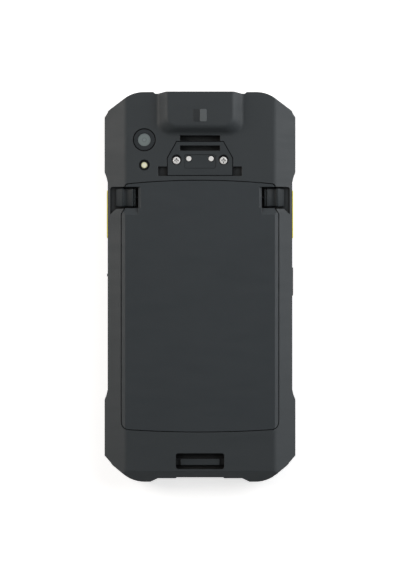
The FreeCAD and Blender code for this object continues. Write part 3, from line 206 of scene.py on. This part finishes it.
def make_grain_group():
    """Spark-eroded mould grain: a fine pebble, a slow cloud of tone and faint handling smears."""
    tree, into, out = new_group(
        "mould_grain",
        {"Vector": (VECTOR, None), "Grains per mm": (FLOAT, 3.0)},
        {"Height": FLOAT, "Cloud": FLOAT, "Smear": FLOAT},
    )
    where = into["Vector"]
    grains_per_metre = maths(tree, "MULTIPLY", into["Grains per mm"], 1.0 / MM)
    feed(tree, out["Height"], noise(tree, where, grains_per_metre, 2.0, 0.55))
    feed(tree, out["Cloud"], noise(tree, where, 38.0, 3.0))
    wiped = {"Vector": where, "Rotation": (0.0, 0.0, 0.6), "Scale": (1.0, 5.0, 1.0)}
    stretched = add(tree, "ShaderNodeMapping", wiped).outputs[0]
    feed(tree, out["Smear"], noise(tree, stretched, 60.0, 4.0, 0.6))
    return tree


def make_crevice_group():
    """How far a place lies open, from 0 deep in a slot to 1 on an open face; the finishes darken
    their colour by it as painted shade.
    """
    tree, into, out = new_group(
        "crevices", {"Reach": (FLOAT, 0.003), "Depth": (FLOAT, 1.6)}, {"Open": FLOAT}
    )
    shade = add(tree, "ShaderNodeAmbientOcclusion", {"Distance": into["Reach"]}, samples=8)
    feed(tree, out["Open"], maths(tree, "POWER", shade.outputs["AO"], into["Depth"]))
    return tree


def make_edge_group():
    """Where a surface turns over an edge: a mask for polish and for painted edge highlights and
    painted dark edge lines, and a softened normal.
    """
    tree, into, out = new_group(
        "worn_edges_with_painted_light",
        {"Radius": (FLOAT, 0.0003), "Patch": (FLOAT, 0.5)},
        {"Mask": FLOAT, "Normal": VECTOR},
    )
    gain = 7.0
    soft = add(tree, "ShaderNodeBevel", {"Radius": into["Radius"]}, samples=6).outputs[0]
    sharp = add(tree, "ShaderNodeNewGeometry").outputs["Normal"]
    dot = add(tree, "ShaderNodeVectorMath", {0: soft, 1: sharp}, operation="DOT_PRODUCT")
    turned = maths(tree, "SUBTRACT", 1.0, dot.outputs["Value"])
    strong = maths(tree, "MULTIPLY", turned, gain, clamp=True)
    feed(tree, out["Mask"], maths(tree, "MULTIPLY", strong, into["Patch"], clamp=True))
    feed(tree, out["Normal"], soft)
    return tree


GRAIN = make_grain_group()
CREVICES = make_crevice_group()
EDGES = make_edge_group()


# Finishes


def new_material(name):
    material = bpy.data.materials.new(name)
    material.use_nodes = True
    return material, material.node_tree, material.node_tree.nodes["Principled BSDF"].inputs


def patterned(name):
    """A new material, with the Object coordinates that its patterns follow."""
    material, tree, shader = new_material(name)
    return material, tree, shader, add(tree, "ShaderNodeTexCoord").outputs["Object"]


def roughen(tree, shader, strength, distance, height, normal=None):
    """A bump that feeds the shader's normal."""
    inputs = {"Strength": strength, "Distance": distance, "Height": height}
    if normal is not None:
        inputs["Normal"] = normal
    feed(tree, shader["Normal"], add(tree, "ShaderNodeBump", inputs).outputs[0])


def moulded(
    name,
    colour,
    roughness,
    grains=3.0,
    bump=0.16,
    edge=0.25,
    edge_tone=1.25,
    shade=1.7,
    specular=0.5,
):
    """Moulded plastic with grain, slow tone changes, polished edges, rounded corners, a painted
    edge highlight and painted shade in crevices.

    grains are per mm, edge is a radius in mm, edge_tone is how much paler an edge is painted as a
    highlight (below 1, how much darker, as a painted dark edge line), and shade is how fast the
    painted shade in a crevice darkens.
    """
    edge_mask_patch, crevice_reach, painted_shade_tone = 0.75, 4.0 * MM, 0.05
    tone_swing, speck_share, speck_tone = 0.10, 0.35, 1.45
    smear_swing, edge_polish, grain_depth = 0.05, 0.12, 0.05 * MM
    material, tree, shader, where = patterned(name)
    shader["Specular IOR Level"].default_value = specular
    grain = use_group(tree, GRAIN, {"Vector": where, "Grains per mm": grains})
    edges = use_group(tree, EDGES, {"Radius": edge * MM, "Patch": edge_mask_patch})
    crevice = use_group(tree, CREVICES, {"Reach": crevice_reach, "Depth": shade})

    darker, paler = scaled(colour, 1 - tone_swing), scaled(colour, 1 + tone_swing)
    base = blend_colour(tree, grain["Cloud"], darker, paler)
    speck = maths(tree, "MULTIPLY", grain["Height"], speck_share)
    base = blend_colour(tree, speck, base, scaled(colour, speck_tone))
    # Painted edge highlight: edges are paler by edge_tone; where edge_tone is below 1 this paints
    # a dark line round the rim as shade.
    base = blend_colour(tree, edges["Mask"], base, scaled(colour, edge_tone))
    # Painted shade: the colour darkens towards near black in crevices, slots and seams.
    base = blend_colour(tree, crevice["Open"], scaled(colour, painted_shade_tone), base)
    feed(tree, shader["Base Color"], base)

    smeared = {
        "Value": grain["Smear"],
        "From Min": 0.3,
        "From Max": 0.7,
        "To Min": roughness + smear_swing,
        "To Max": roughness - smear_swing,
    }
    shine = add(tree, "ShaderNodeMapRange", smeared).outputs[0]
    polish = maths(tree, "MULTIPLY", edges["Mask"], edge_polish)
    feed(tree, shader["Roughness"], maths(tree, "SUBTRACT", shine, polish))
    roughen(tree, shader, bump, grain_depth, grain["Height"], edges["Normal"])
    return material


def metal(name, colour, roughness, scratch=(1.0, 40.0, 1.0), metallic=1.0):
    """Drawn or turned metal with fine scratches; scratch packs them closer along an axis."""
    line_scale, line_swing, line_strength, line_depth = 900.0, 0.2, 0.12, 0.02 * MM
    wear_radius, edge_mask_patch = 0.12 * MM, 0.6
    crevice_reach, crevice_shade, painted_shade_tone = 0.5 * MM, 1.6, 0.05
    material, tree, shader, where = patterned(name)
    lay = add(tree, "ShaderNodeMapping", {"Vector": where, "Scale": scratch}).outputs[0]
    lines = noise(tree, lay, line_scale, 3.0, 0.6)
    edges = use_group(tree, EDGES, {"Radius": wear_radius, "Patch": edge_mask_patch})
    crevice = use_group(tree, CREVICES, {"Reach": crevice_reach, "Depth": crevice_shade})
    brighter = tuple(min(1.0, channel) for channel in scaled(colour, 1.1))
    tone = blend_colour(tree, lines, scaled(colour, 0.82), brighter)
    # Painted shade: the colour darkens in crevices and recesses.
    tone = blend_colour(tree, crevice["Open"], scaled(colour, painted_shade_tone), tone)
    feed(tree, shader["Base Color"], tone)
    shader["Metallic"].default_value = metallic
    rough = maths(tree, "MULTIPLY", lines, line_swing)
    feed(tree, shader["Roughness"], maths(tree, "ADD", rough, roughness - line_swing / 2))
    roughen(tree, shader, line_strength, line_depth, lines, edges["Normal"])
    return material


def circuit_board():
    """Green solder mask with paler copper runs and tinned pads."""
    material, tree, shader, where = patterned("solder_mask")
    layout = {
        "Vector": where,
        "Color1": (0.008, 0.055, 0.022, 1),
        "Color2": (0.012, 0.075, 0.030, 1),
        "Mortar": (0.030, 0.130, 0.055, 1),
        "Scale": 420.0,
        "Mortar Size": 0.03,
    }
    runs = add(tree, "ShaderNodeTexBrick", layout).outputs["Color"]
    dots = add(tree, "ShaderNodeTexVoronoi", {"Vector": where, "Scale": 520.0})
    pads = maths(tree, "LESS_THAN", dots.outputs["Distance"], 0.16)
    feed(tree, shader["Base Color"], blend_colour(tree, pads, runs, (0.55, 0.53, 0.45)))
    shader["Roughness"].default_value = 0.38
    return material


def screen_glass():
    """Cover glass: a black printed border round the unlit display, and the front camera's spot."""
    material, tree, shader, where = patterned("cover_glass")
    split = add(tree, "ShaderNodeSeparateXYZ", {0: where}).outputs
    border_overlap = 1.4 * MM
    low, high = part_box("display_panel")
    inside = 1.0
    for axis, index in (("X", 0), ("Y", 1)):
        centre = (low[index] + high[index]) / 2
        half = (high[index] - low[index]) / 2 - border_overlap
        offset = maths(tree, "ABSOLUTE", maths(tree, "SUBTRACT", split[axis], centre))
        near = maths(tree, "LESS_THAN", offset, half)
        inside = maths(tree, "MULTIPLY", near, inside)
    base = blend_colour(tree, inside, (0.004, 0.004, 0.005), (0.013, 0.014, 0.016))

    low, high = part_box("front_camera")
    spot = ((low.x + high.x) / 2, (low.y + high.y) / 2, 0.0)
    flat = add(tree, "ShaderNodeCombineXYZ", {0: split["X"], 1: split["Y"]}).outputs[0]
    away = add(tree, "ShaderNodeVectorMath", {0: flat, 1: spot}, operation="DISTANCE")
    for radius, tone in ((1.9, (0.020, 0.021, 0.024)), (1.1, (0.003, 0.004, 0.008))):
        within = maths(tree, "LESS_THAN", away.outputs["Value"], radius * MM)
        base = blend_colour(tree, within, base, tone)
    feed(tree, shader["Base Color"], base)

    smear = maths(tree, "MULTIPLY", noise(tree, where, 45.0, 4.0), 0.10)
    feed(tree, shader["Roughness"], maths(tree, "ADD", smear, 0.02))
    shader["Coat Weight"].default_value = 0.6
    shader["Coat Roughness"].default_value = 0.03
    return material


def round_glass(name, node, stops, roughness):
    """A round window whose tone changes from its centre out."""
    material, tree, shader, where = patterned(name)
    low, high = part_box(node)
    centre, rim = (low + high) / 2, (high.x - low.x) / 2
    middle = {"Vector": where, "Location": (-centre.x, -centre.y, 0.0)}
    shifted = add(tree, "ShaderNodeMapping", middle).outputs[0]
    level = {0: shifted, 1: (1.0, 1.0, 0.0)}
    level = add(tree, "ShaderNodeVectorMath", level, operation="MULTIPLY").outputs[0]
    reach = add(tree, "ShaderNodeVectorMath", {0: level}, operation="LENGTH")
    share = maths(tree, "DIVIDE", reach.outputs["Value"], rim)
    ramp = add(tree, "ShaderNodeValToRGB", {"Fac": share})
    ramp.color_ramp.interpolation = "EASE"
    elements = ramp.color_ramp.elements
    for element, (position, colour) in ((elements[0], stops[0]), (elements[1], stops[-1])):
        element.position, element.color = position, (*colour, 1)
    for position, colour in stops[1:-1]:
        elements.new(position).color = (*colour, 1)
    feed(tree, shader["Base Color"], ramp.outputs[0])
    dust = maths(tree, "MULTIPLY", noise(tree, where, 700.0, 3.0), 0.06)
    feed(tree, shader["Roughness"], maths(tree, "ADD", dust, roughness))
    shader["Coat Weight"].default_value = 1.0
    shader["Coat Roughness"].default_value = 0.04
    return material


def filter_window():
    """The scanner's dark red filter, which lets the engine show faintly through."""
    material, tree, shader, where = patterned("red_filter")
    haze = noise(tree, where, 120.0, 3.0)
    base = blend_colour(tree, haze, (0.075, 0.004, 0.006), (0.11, 0.008, 0.010))
    feed(tree, shader["Base Color"], base)
    rough = maths(tree, "MULTIPLY", haze, 0.05)
    feed(tree, shader["Roughness"], maths(tree, "ADD", rough, 0.02))
    shader["Alpha"].default_value = 0.82
    shader["Coat Weight"].default_value = 0.8
    return material


def foil():
    """The cell's wrinkled foil wrap."""
    material, tree, shader, where = patterned("cell_foil")
    folds = noise(tree, where, 160.0, 5.0)
    base = blend_colour(tree, folds, (0.40, 0.41, 0.43), (0.60, 0.61, 0.63))
    feed(tree, shader["Base Color"], base)
    shader["Metallic"].default_value = 0.9
    shader["Roughness"].default_value = 0.34
    roughen(tree, shader, 0.3, 0.1 * MM, folds)
    return material


# Tools for new pieces


def mesh_from(name, fill):
    """A mesh from a function that fills a bmesh, with its faces outwards."""
    shape = bmesh.new()
    fill(shape)
    bmesh.ops.recalc_face_normals(shape, faces=shape.faces)
    mesh = bpy.data.meshes.new(name)
    shape.to_mesh(mesh)
    shape.free()
    return mesh


def place(name, data):
    thing = bpy.data.objects.new(name, data)
    bpy.context.scene.collection.objects.link(thing)
    return thing


def piece_from(name, fill, body, material):
    """Makes a piece and fixes it to a body."""
    mesh = mesh_from(name, fill)
    mesh.materials.append(material)
    piece = place(name, mesh)
    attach(piece, body)
    return piece


def carve(piece, fill):
    """Cuts the shape that a function fills out of a piece."""
    cutter = place("cutter", mesh_from("cutter", fill))
    modifier = piece.modifiers.new("bore", "BOOLEAN")
    modifier.operation = "DIFFERENCE"
    modifier.object = cutter
    bpy.context.view_layer.update()
    graph = bpy.context.evaluated_depsgraph_get()
    result = bpy.data.meshes.new_from_object(piece.evaluated_get(graph))
    piece.modifiers.remove(modifier)
    piece.data = result
    bpy.data.objects.remove(cutter)


def smooth_with_creases(piece):
    crease = math.radians(28)
    for face in piece.data.polygons:
        face.use_smooth = True
    piece.data.set_sharp_from_angle(angle=crease)


def of_kind(parts, kind):
    return [part for part in parts if isinstance(part, kind)]


# New pieces


def cross_head(shape, x, y, low, high, radius):
    """A pan head with a cross recess cut into its crown."""
    middle = Vector((x, y, 0.0))
    head = bmesh.ops.create_circle(shape, cap_ends=True, segments=40, radius=radius)["verts"]
    bmesh.ops.translate(shape, vec=(x, y, low), verts=head)
    rim = [edge for edge in shape.edges if all(vert in head for vert in edge.verts)]
    for share, height in ((1.0, 0.70), (0.94, 0.86), (0.84, 0.95), (0.72, 1.0)):
        made = bmesh.ops.extrude_edge_only(shape, edges=rim)["geom"]
        ring = of_kind(made, bmesh.types.BMVert)
        now = (ring[0].co.xy - middle.xy).length
        factor = radius * share / now
        around = Matrix.Translation(-middle)
        bmesh.ops.scale(shape, vec=(factor, factor, 1.0), verts=ring, space=around)
        for vert in ring:
            vert.co.z = low + (high - low) * height
        rim = [
            edge
            for edge in of_kind(made, bmesh.types.BMEdge)
            if all(vert in ring for vert in edge.verts)
        ]

    # The recess: a cross with filled inner corners, narrower at its floor
    depth, taper = (high - low) * 0.62, 0.72
    arm, reach = radius * 0.17, radius * 0.68
    corners = []
    for turn in range(4):
        angle = math.radians(90 * turn)
        along = Vector((math.cos(angle), math.sin(angle), 0))
        across = Vector((-along.y, along.x, 0))
        corners.append(along * reach - across * arm)
        corners.append(along * reach + across * arm)
        corners.append((along + across) * arm * 1.5)
    mouth = [shape.verts.new(Vector((x, y, high)) + corner) for corner in corners]
    count = len(mouth)
    loop = [shape.edges.new((mouth[i], mouth[(i + 1) % count])) for i in range(count)]
    bmesh.ops.triangle_fill(shape, use_beauty=True, edges=rim + loop)
    lid = [face for face in shape.faces if all(vert in mouth for vert in face.verts)]
    bmesh.ops.delete(shape, geom=lid, context="FACES_ONLY")
    walls = bmesh.ops.extrude_edge_only(shape, edges=loop)["geom"]
    floor = of_kind(walls, bmesh.types.BMVert)
    for vert in floor:
        vert.co.z = high - depth
        vert.co.x = x + (vert.co.x - x) * taper
        vert.co.y = y + (vert.co.y - y) * taper
    bottom = [
        edge
        for edge in of_kind(walls, bmesh.types.BMEdge)
        if all(vert in floor for vert in edge.verts)
    ]
    bmesh.ops.triangle_fill(shape, use_beauty=True, edges=bottom)


def plate_screws(material):
    """The two strap plate screws, with their cross recesses."""
    low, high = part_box("strap_plate_screws")
    radius, y = (high.y - low.y) / 2, (low.y + high.y) / 2
    head_low = high.z - 0.75 * MM
    shank_top = head_low + 0.1 * MM

    def fill(shape):
        for x in (low.x + radius, high.x - radius):
            cross_head(shape, x, y, head_low, high.z, radius)
            shank = bmesh.ops.create_cone(
                shape,
                cap_ends=True,
                segments=20,
                radius1=radius * 0.5,
                radius2=radius * 0.5,
                depth=shank_top - low.z,
            )["verts"]
            bmesh.ops.translate(shape, vec=(x, y, (shank_top + low.z) / 2), verts=shank)

    piece = piece_from("strap_plate_screw_pair", fill, "case", material)
    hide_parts("strap_plate_screws")


def latch_section(side):
    """The outline of a latch thumb seen along its length, as (across, height) in metres."""
    low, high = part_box(f"latch_{side}")
    inner, outer = sorted((abs(low.x), abs(high.x)))
    foot, top = low.z, high.z
    skirt, skirt_top = inner - 0.8 * MM, top - 0.40 * MM
    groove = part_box(f"latch_spring_{side}")[1].z + 0.2 * MM
    section = [
        (skirt, foot),
        (skirt, skirt_top - 0.2 * MM),
        (skirt + 0.15 * MM, skirt_top),
        (inner - 0.34 * MM, skirt_top),
        (inner - 0.26 * MM, groove),
        (inner - 0.02 * MM, groove),
    ]
    section += [(inner + out * MM, top - down * MM) for out, down in LATCH_CREST]
    section += [(outer - back * MM, foot + up * MM) for back, up in LATCH_TOE]
    return section, inner, outer


def latch_thumb(side, hand, material):
    """A latch's thumb block: dished, with a ridge, softened ends and a spring bore."""
    low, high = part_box(f"latch_{side}")
    section, inner, outer = latch_section(side)
    foot = low.z
    round_end = 0.55 * MM
    steps = [0.0, 0.06, 0.2, 0.45, 1.0]
    ends = [low.y + share * round_end for share in steps]
    ends += [high.y - share * round_end for share in reversed(steps)]

    def fill(shape):
        layers = shape.verts.layers.float
        reach, height = layers.new("reach"), layers.new("height")
        outline = []
        for x, z in section:
            vert = shape.verts.new((hand * x, low.y, z))
            vert[reach], vert[height] = x, z
            outline.append(vert)
        first_end = end = shape.faces.new(outline)
        for y in ends:
            if y > low.y:
                made = bmesh.ops.extrude_face_region(shape, geom=[end])["geom"]
                if end is not first_end:
                    bmesh.ops.delete(shape, geom=[end], context="FACES_ONLY")
                end = of_kind(made, bmesh.types.BMFace)[0]
            left_over = max(0.0, round_end - min(y - low.y, high.y - y))
            drop = round_end - math.sqrt(round_end**2 - left_over**2)
            for vert in end.verts:
                x, z = vert[reach], vert[height]
                if z > foot + 0.3 * MM:
                    z = max(z - drop, foot + 0.25 * MM)
                    x += drop if x < inner + 0.3 * MM else 0.0
                    x -= drop if x > outer - 1.0 * MM else 0.0
                vert.co = (hand * x, y, z)
        layers.remove(layers["reach"])
        layers.remove(layers["height"])

    piece = piece_from(
        f"latch_thumb_{side}", fill, f"latch_{side}_slider", material
    )
    spring_low, spring_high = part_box(f"latch_spring_{side}")

    def bore(shape):
        radius = (spring_high.z - spring_low.z) / 2
        made = bmesh.ops.create_cone(
            shape,
            cap_ends=True,
            segments=28,
            radius1=radius,
            radius2=radius,
            depth=spring_high.x - spring_low.x,
            matrix=Matrix.Rotation(math.pi / 2, 4, "Y"),
        )
        bmesh.ops.translate(shape, vec=(spring_low + spring_high) / 2, verts=made["verts"])

    carve(piece, bore)
    smooth_with_creases(piece)
    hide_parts(f"latch_{side}")


def plate_outline(grow):
    """The strap plate's six corners, moved outwards by grow."""
    low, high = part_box("strap_plate")
    top_half, shoulder = 9.7 * MM, high.y - 6.8 * MM
    corners = [
        Vector((high.x, low.y)),
        Vector((high.x, shoulder)),
        Vector((top_half, high.y)),
        Vector((-top_half, high.y)),
        Vector((low.x, shoulder)),
        Vector((low.x, low.y)),
    ]
    points = []
    for i, corner in enumerate(corners):
        into = (corner - corners[i - 1]).normalized()
        away = (corners[(i + 1) % len(corners)] - corner).normalized()
        first, second = Vector((into.y, -into.x)), Vector((away.y, -away.x))
        across = (first + second).normalized()
        points.append(corner + across * (grow / across.dot(first)))
    return points


def paint_plate_seam_shade(material):
    """A dark lip laid along the strap plate's seam, standing in for the seam's shadow as a painted
    shadow line.
    """
    outside, inside, crown = 0.18 * MM, 0.20 * MM, 0.025 * MM
    proud, wall = 0.015 * MM, 0.515 * MM
    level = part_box("strap_plate")[1].z + proud

    def fill(shape):
        rim = [shape.verts.new((*point, level)) for point in plate_outline(outside)]
        lip = shape.faces.new(rim)
        lip.normal_update()
        if lip.normal.z < 0:
            lip.normal_flip()
        for width, rise in ((outside, crown), (inside, -crown)):
            bmesh.ops.inset_region(
                shape,
                faces=[lip],
                thickness=width,
                depth=rise,
                use_boundary=True,
                use_even_offset=True,
            )
        bmesh.ops.delete(shape, geom=[lip], context="FACES_ONLY")
        rims = [edge for edge in shape.edges if edge.is_boundary]
        made = bmesh.ops.extrude_edge_only(shape, edges=rims)["geom"]
        foot = of_kind(made, bmesh.types.BMVert)
        bmesh.ops.translate(shape, vec=(0, 0, -wall), verts=foot)
        bottom = [
            edge
            for edge in of_kind(made, bmesh.types.BMEdge)
            if all(vert in foot for vert in edge.verts)
        ]
        bmesh.ops.bridge_loops(shape, edges=bottom)

    piece_from("strap_plate_seam_shade", fill, "case", material)


def camera_trims(material):
    """The thin raised ring round the camera's window."""
    low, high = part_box("camera_lens")
    centre = (low + high) / 2
    inner, outer = 2.62 * MM, 2.84 * MM
    bottom, top = high.z - 0.02 * MM, high.z + 0.06 * MM

    def fill(shape):
        section = []
        for radius, height in ((inner, bottom), (inner, top), (outer, top), (outer, bottom)):
            section.append(shape.verts.new((centre.x + radius, centre.y, height)))
        edges = [shape.edges.new((section[i], section[i - 1])) for i in range(4)]
        bmesh.ops.spin(
            shape,
            geom=section + edges,
            cent=(centre.x, centre.y, 0.0),
            axis=(0.0, 0.0, 1.0),
            angle=2 * math.pi,
            steps=64,
            use_merge=True,
        )

    piece = piece_from("camera_window_ring", fill, "case", material)
    smooth_with_creases(piece)


def hump_mark(name, left, right, material):
    """One half of the two-tone patch on the scanner hump."""
    low, high = 68.2 * MM, 73.3 * MM
    thick, corner = 0.04 * MM, 0.5 * MM

    def fill(shape):
        verts = bmesh.ops.create_cube(shape, size=1.0)["verts"]
        bmesh.ops.scale(shape, vec=(right - left, high - low, thick), verts=verts)
        middle = ((left + right) / 2, (low + high) / 2, cad_high.z)
        bmesh.ops.translate(shape, vec=middle, verts=verts)
        posts = [
            edge
            for edge in shape.edges
            if abs((edge.verts[0].co - edge.verts[1].co).z) > thick * 0.9
        ]
        bmesh.ops.bevel(
            shape, geom=posts, offset=corner, segments=5, profile=0.5, affect="EDGES", material=-1
        )

    piece_from(name, fill, "case", material)


# Setting


def make_camera():
    data = bpy.data.cameras.new("camera")
    data.sensor_width = SENSOR
    span = IMAGE_HEIGHT * MM_PER_PIXEL * MM
    data.lens = SENSOR * (CAMERA_HEIGHT - SILHOUETTE_Z) / span
    data.clip_start, data.clip_end = 0.1, 10.0
    camera = place("camera", data)
    centre_y = (CENTRE_ROW - IMAGE_HEIGHT / 2) * MM_PER_PIXEL * MM
    camera.location = (0.0, centre_y, CAMERA_HEIGHT)
    bpy.context.scene.camera = camera


def area_light(name, spot, size, power, colour):
    """A rectangular lamp that faces the terminal."""
    data = bpy.data.lights.new(name, "AREA")
    data.shape = "RECTANGLE"
    data.size, data.size_y = size
    data.energy = power
    data.color = colour
    light = place(name, data)
    light.location = spot
    light.rotation_mode = "QUATERNION"
    light.rotation_quaternion = (-Vector(spot)).to_track_quat("-Z", "Y")


def make_floor():
    """A pale sweep that shows as white to the camera and keeps a soft shadow."""
    half_size, below, glow = 3.0, 0.2 * MM, 0.68
    mesh = mesh_from(
        "floor",
        lambda shape: bmesh.ops.create_grid(shape, x_segments=1, y_segments=1, size=half_size),
    )
    floor = place("floor", mesh)
    floor.location = (0.0, 0.0, -below)
    material, tree, shader = new_material("pale_floor")
    shader["Base Color"].default_value = (0.80, 0.80, 0.80, 1)
    shader["Roughness"].default_value = 0.9
    shader["Specular IOR Level"].default_value = 0.0
    path = add(tree, "ShaderNodeLightPath").outputs
    seen = maths(tree, "MAXIMUM", path["Is Camera Ray"], path["Is Glossy Ray"])
    seen = maths(tree, "MAXIMUM", seen, path["Is Transmission Ray"])
    shader["Emission Color"].default_value = (1, 1, 1, 1)
    feed(tree, shader["Emission Strength"], maths(tree, "MULTIPLY", seen, glow))
    mesh.materials.append(material)


def make_world():
    """A soft studio that is dim overhead and brighter towards the horizon."""
    world = bpy.data.worlds.new("studio")
    world.use_nodes = True
    tree = world.node_tree
    background = tree.nodes["Background"].inputs
    background["Color"].default_value = (1.0, 1.0, 1.0, 1)
    way = add(tree, "ShaderNodeTexCoord").outputs["Generated"]
    height = add(tree, "ShaderNodeSeparateXYZ", {0: way}).outputs["Z"]
    fade = {"Value": height, "From Min": 0.1, "From Max": 0.9, "To Min": 0.36, "To Max": 0.06}
    glow = add(tree, "ShaderNodeMapRange", fade).outputs[0]
    seen = add(tree, "ShaderNodeLightPath").outputs["Is Camera Ray"]
    strength = add(tree, "ShaderNodeMix", {0: seen, 2: glow, 3: 1.0})
    feed(tree, background["Strength"], strength.outputs[0])
    bpy.context.scene.world = world


# Which finish goes where


def finish_nodes():
    """Gives every CAD node its finish; hands back the three that new pieces share."""
    trim = moulded("trim_satin", TRIM_GREY, 0.40, grains=5.0, bump=0.04, edge=0.12)
    # Its edge_tone of 4.0 paints a strong highlight along the latch's ridge and edges.
    latch = moulded(
        "latch_satin",
        LATCH_CHARCOAL,
        0.54,
        grains=5.0,
        bump=0.08,
        edge=0.45,
        edge_tone=4.0,
        shade=1.1,
        specular=0.25,
    )
    rubber = moulded("seal_rubber", SEAL_BLACK, 0.85, grains=6.0, bump=0.05, specular=0.12)
    finishes = [
        (moulded("housing_grain", CHARCOAL, 0.56), ["rear_housing"]),
        (
            moulded("battery_grain", BATTERY_CHARCOAL, 0.55, grains=4.0, bump=0.10, shade=0.9),
            ["battery_cover"],
        ),
        (
            # edge_tone 0.15 paints a dark line round the plate's rim, as the seam's shade.
            moulded("plate_satin", PLATE_CHARCOAL, 0.50, grains=4.0, bump=0.08, edge_tone=0.15),
            ["strap_plate"],
        ),
        (moulded("bar_satin", PLATE_CHARCOAL, 0.50, grains=4.0, bump=0.08), ["strap_bar"]),
        (
            # edge_tone 0.2 paints a dark line round the contact block's rim, as the seam's shade.
            moulded(
                "contact_satin",
                PLATE_CHARCOAL,
                0.48,
                grains=5.0,
                bump=0.06,
                edge=0.2,
                edge_tone=0.2,
            ),
            ["contact_block"],
        ),
        (moulded("bezel_satin", BEZEL_BLACK, 0.46, grains=4.0, bump=0.10), ["front_bezel"]),
        (
            moulded("tray_satin", TRAY_CHARCOAL, 0.48, grains=5.0, bump=0.10, shade=0.9),
            ["battery_tray"],
        ),
        (trim, ["camera_ring"]),
        (
            moulded("flash_bezel_gloss", NEAR_BLACK, 0.30, grains=5.0, bump=0.03, edge=0.1),
            ["flash_bezel"],
        ),
        (
            moulded("scan_key_satin", SCAN_YELLOW, 0.42, grains=5.0, bump=0.06, edge_tone=1.1),
            ["scan_key_left", "scan_key_right"],
        ),
        (
            moulded("black_key_satin", NEAR_BLACK, 0.42, grains=5.0, bump=0.08),
            ["power_key", "volume_rocker"],
        ),
        (rubber, ["housing_seal", "display_gasket"]),
        (
            moulded("inner_black", NEAR_BLACK, 0.6, grains=4.0, bump=0.08),
            [
                "scan_engine",
                "rear_camera",
                "front_camera",
                "receiver_speaker",
                "loudspeaker",
                "battery_connector",
                "flash_led",
            ],
        ),
        (
            moulded("amber_film", AMBER, 0.35, grains=2.0, bump=0.02),
            ["board_flex", "side_switches_left", "side_switches_right"],
        ),
        (moulded("display_dark", DISPLAY_BLACK, 0.2, grains=2.0, bump=0.0), ["display_panel"]),
        (
            metal("machine_steel", STEEL, 0.30),
            ["housing_screws", "main_board_shields", "vibration_motor"],
        ),
        (
            metal("spring_wire", SPRING_STEEL, 0.6, scratch=(60.0, 1.0, 1.0)),
            ["latch_spring_left", "latch_spring_right"],
        ),
        (metal("contact_plate", GOLD, 0.26, scratch=EVEN), ["battery_contacts", "antenna"]),
        (metal("contact_silver", CONTACT_SILVER, 0.4, EVEN, metallic=0.1), ["rear_contacts"]),
        (metal("cast_alloy", CAST_ALLOY, 0.5, scratch=EVEN), ["mid_frame", "scan_engine_bracket"]),
        (metal("port_steel", PORT_STEEL, 0.34), ["usb_c_port"]),
        (circuit_board(), ["main_board", "lower_board", "battery_circuit"]),
        (foil(), ["battery_cell"]),
        (screen_glass(), ["touch_glass"]),
        (filter_window(), ["scan_window"]),
        (round_glass("camera_window", "camera_lens", LENS_STOPS, 0.08), ["camera_lens"]),
        (round_glass("flash_lens_cream", "flash_lens", FLASH_STOPS, 0.2), ["flash_lens"]),
    ]
    for material, names in finishes:
        for name in names:
            slots = nodes[name].data.materials
            slots.clear()
            slots.append(material)
    return trim, latch, rubber


def add_pieces(trim, latch, rubber):
    """Trim that stands in for a CAD node or is fixed over one."""
    plate_screws(metal("bright_screw", SCREW_STEEL, 0.32, EVEN, metallic=0.15))
    latch_thumb("left", -1, latch)
    latch_thumb("right", 1, latch)
    camera_trims(trim)
    # A dark lip along the strap plate's seam: a painted shadow line.
    paint_plate_seam_shade(rubber)
    mark_half = 2.75 * MM
    dark = moulded("mark_dark", MARK_DARK, 0.5, grains=5.0, bump=0.03)
    pale = moulded("mark_pale", MARK_PALE, 0.5, grains=5.0, bump=0.03)
    hump_mark("hump_mark_dark", -mark_half, 0.0, dark)
    hump_mark("hump_mark_pale", 0.0, mark_half, pale)


bpy.context.scene.view_settings.view_transform = "Standard"
make_camera()
make_floor()
make_world()
for lamp in LAMPS:
    area_light(*lamp)
add_pieces(*finish_nodes())
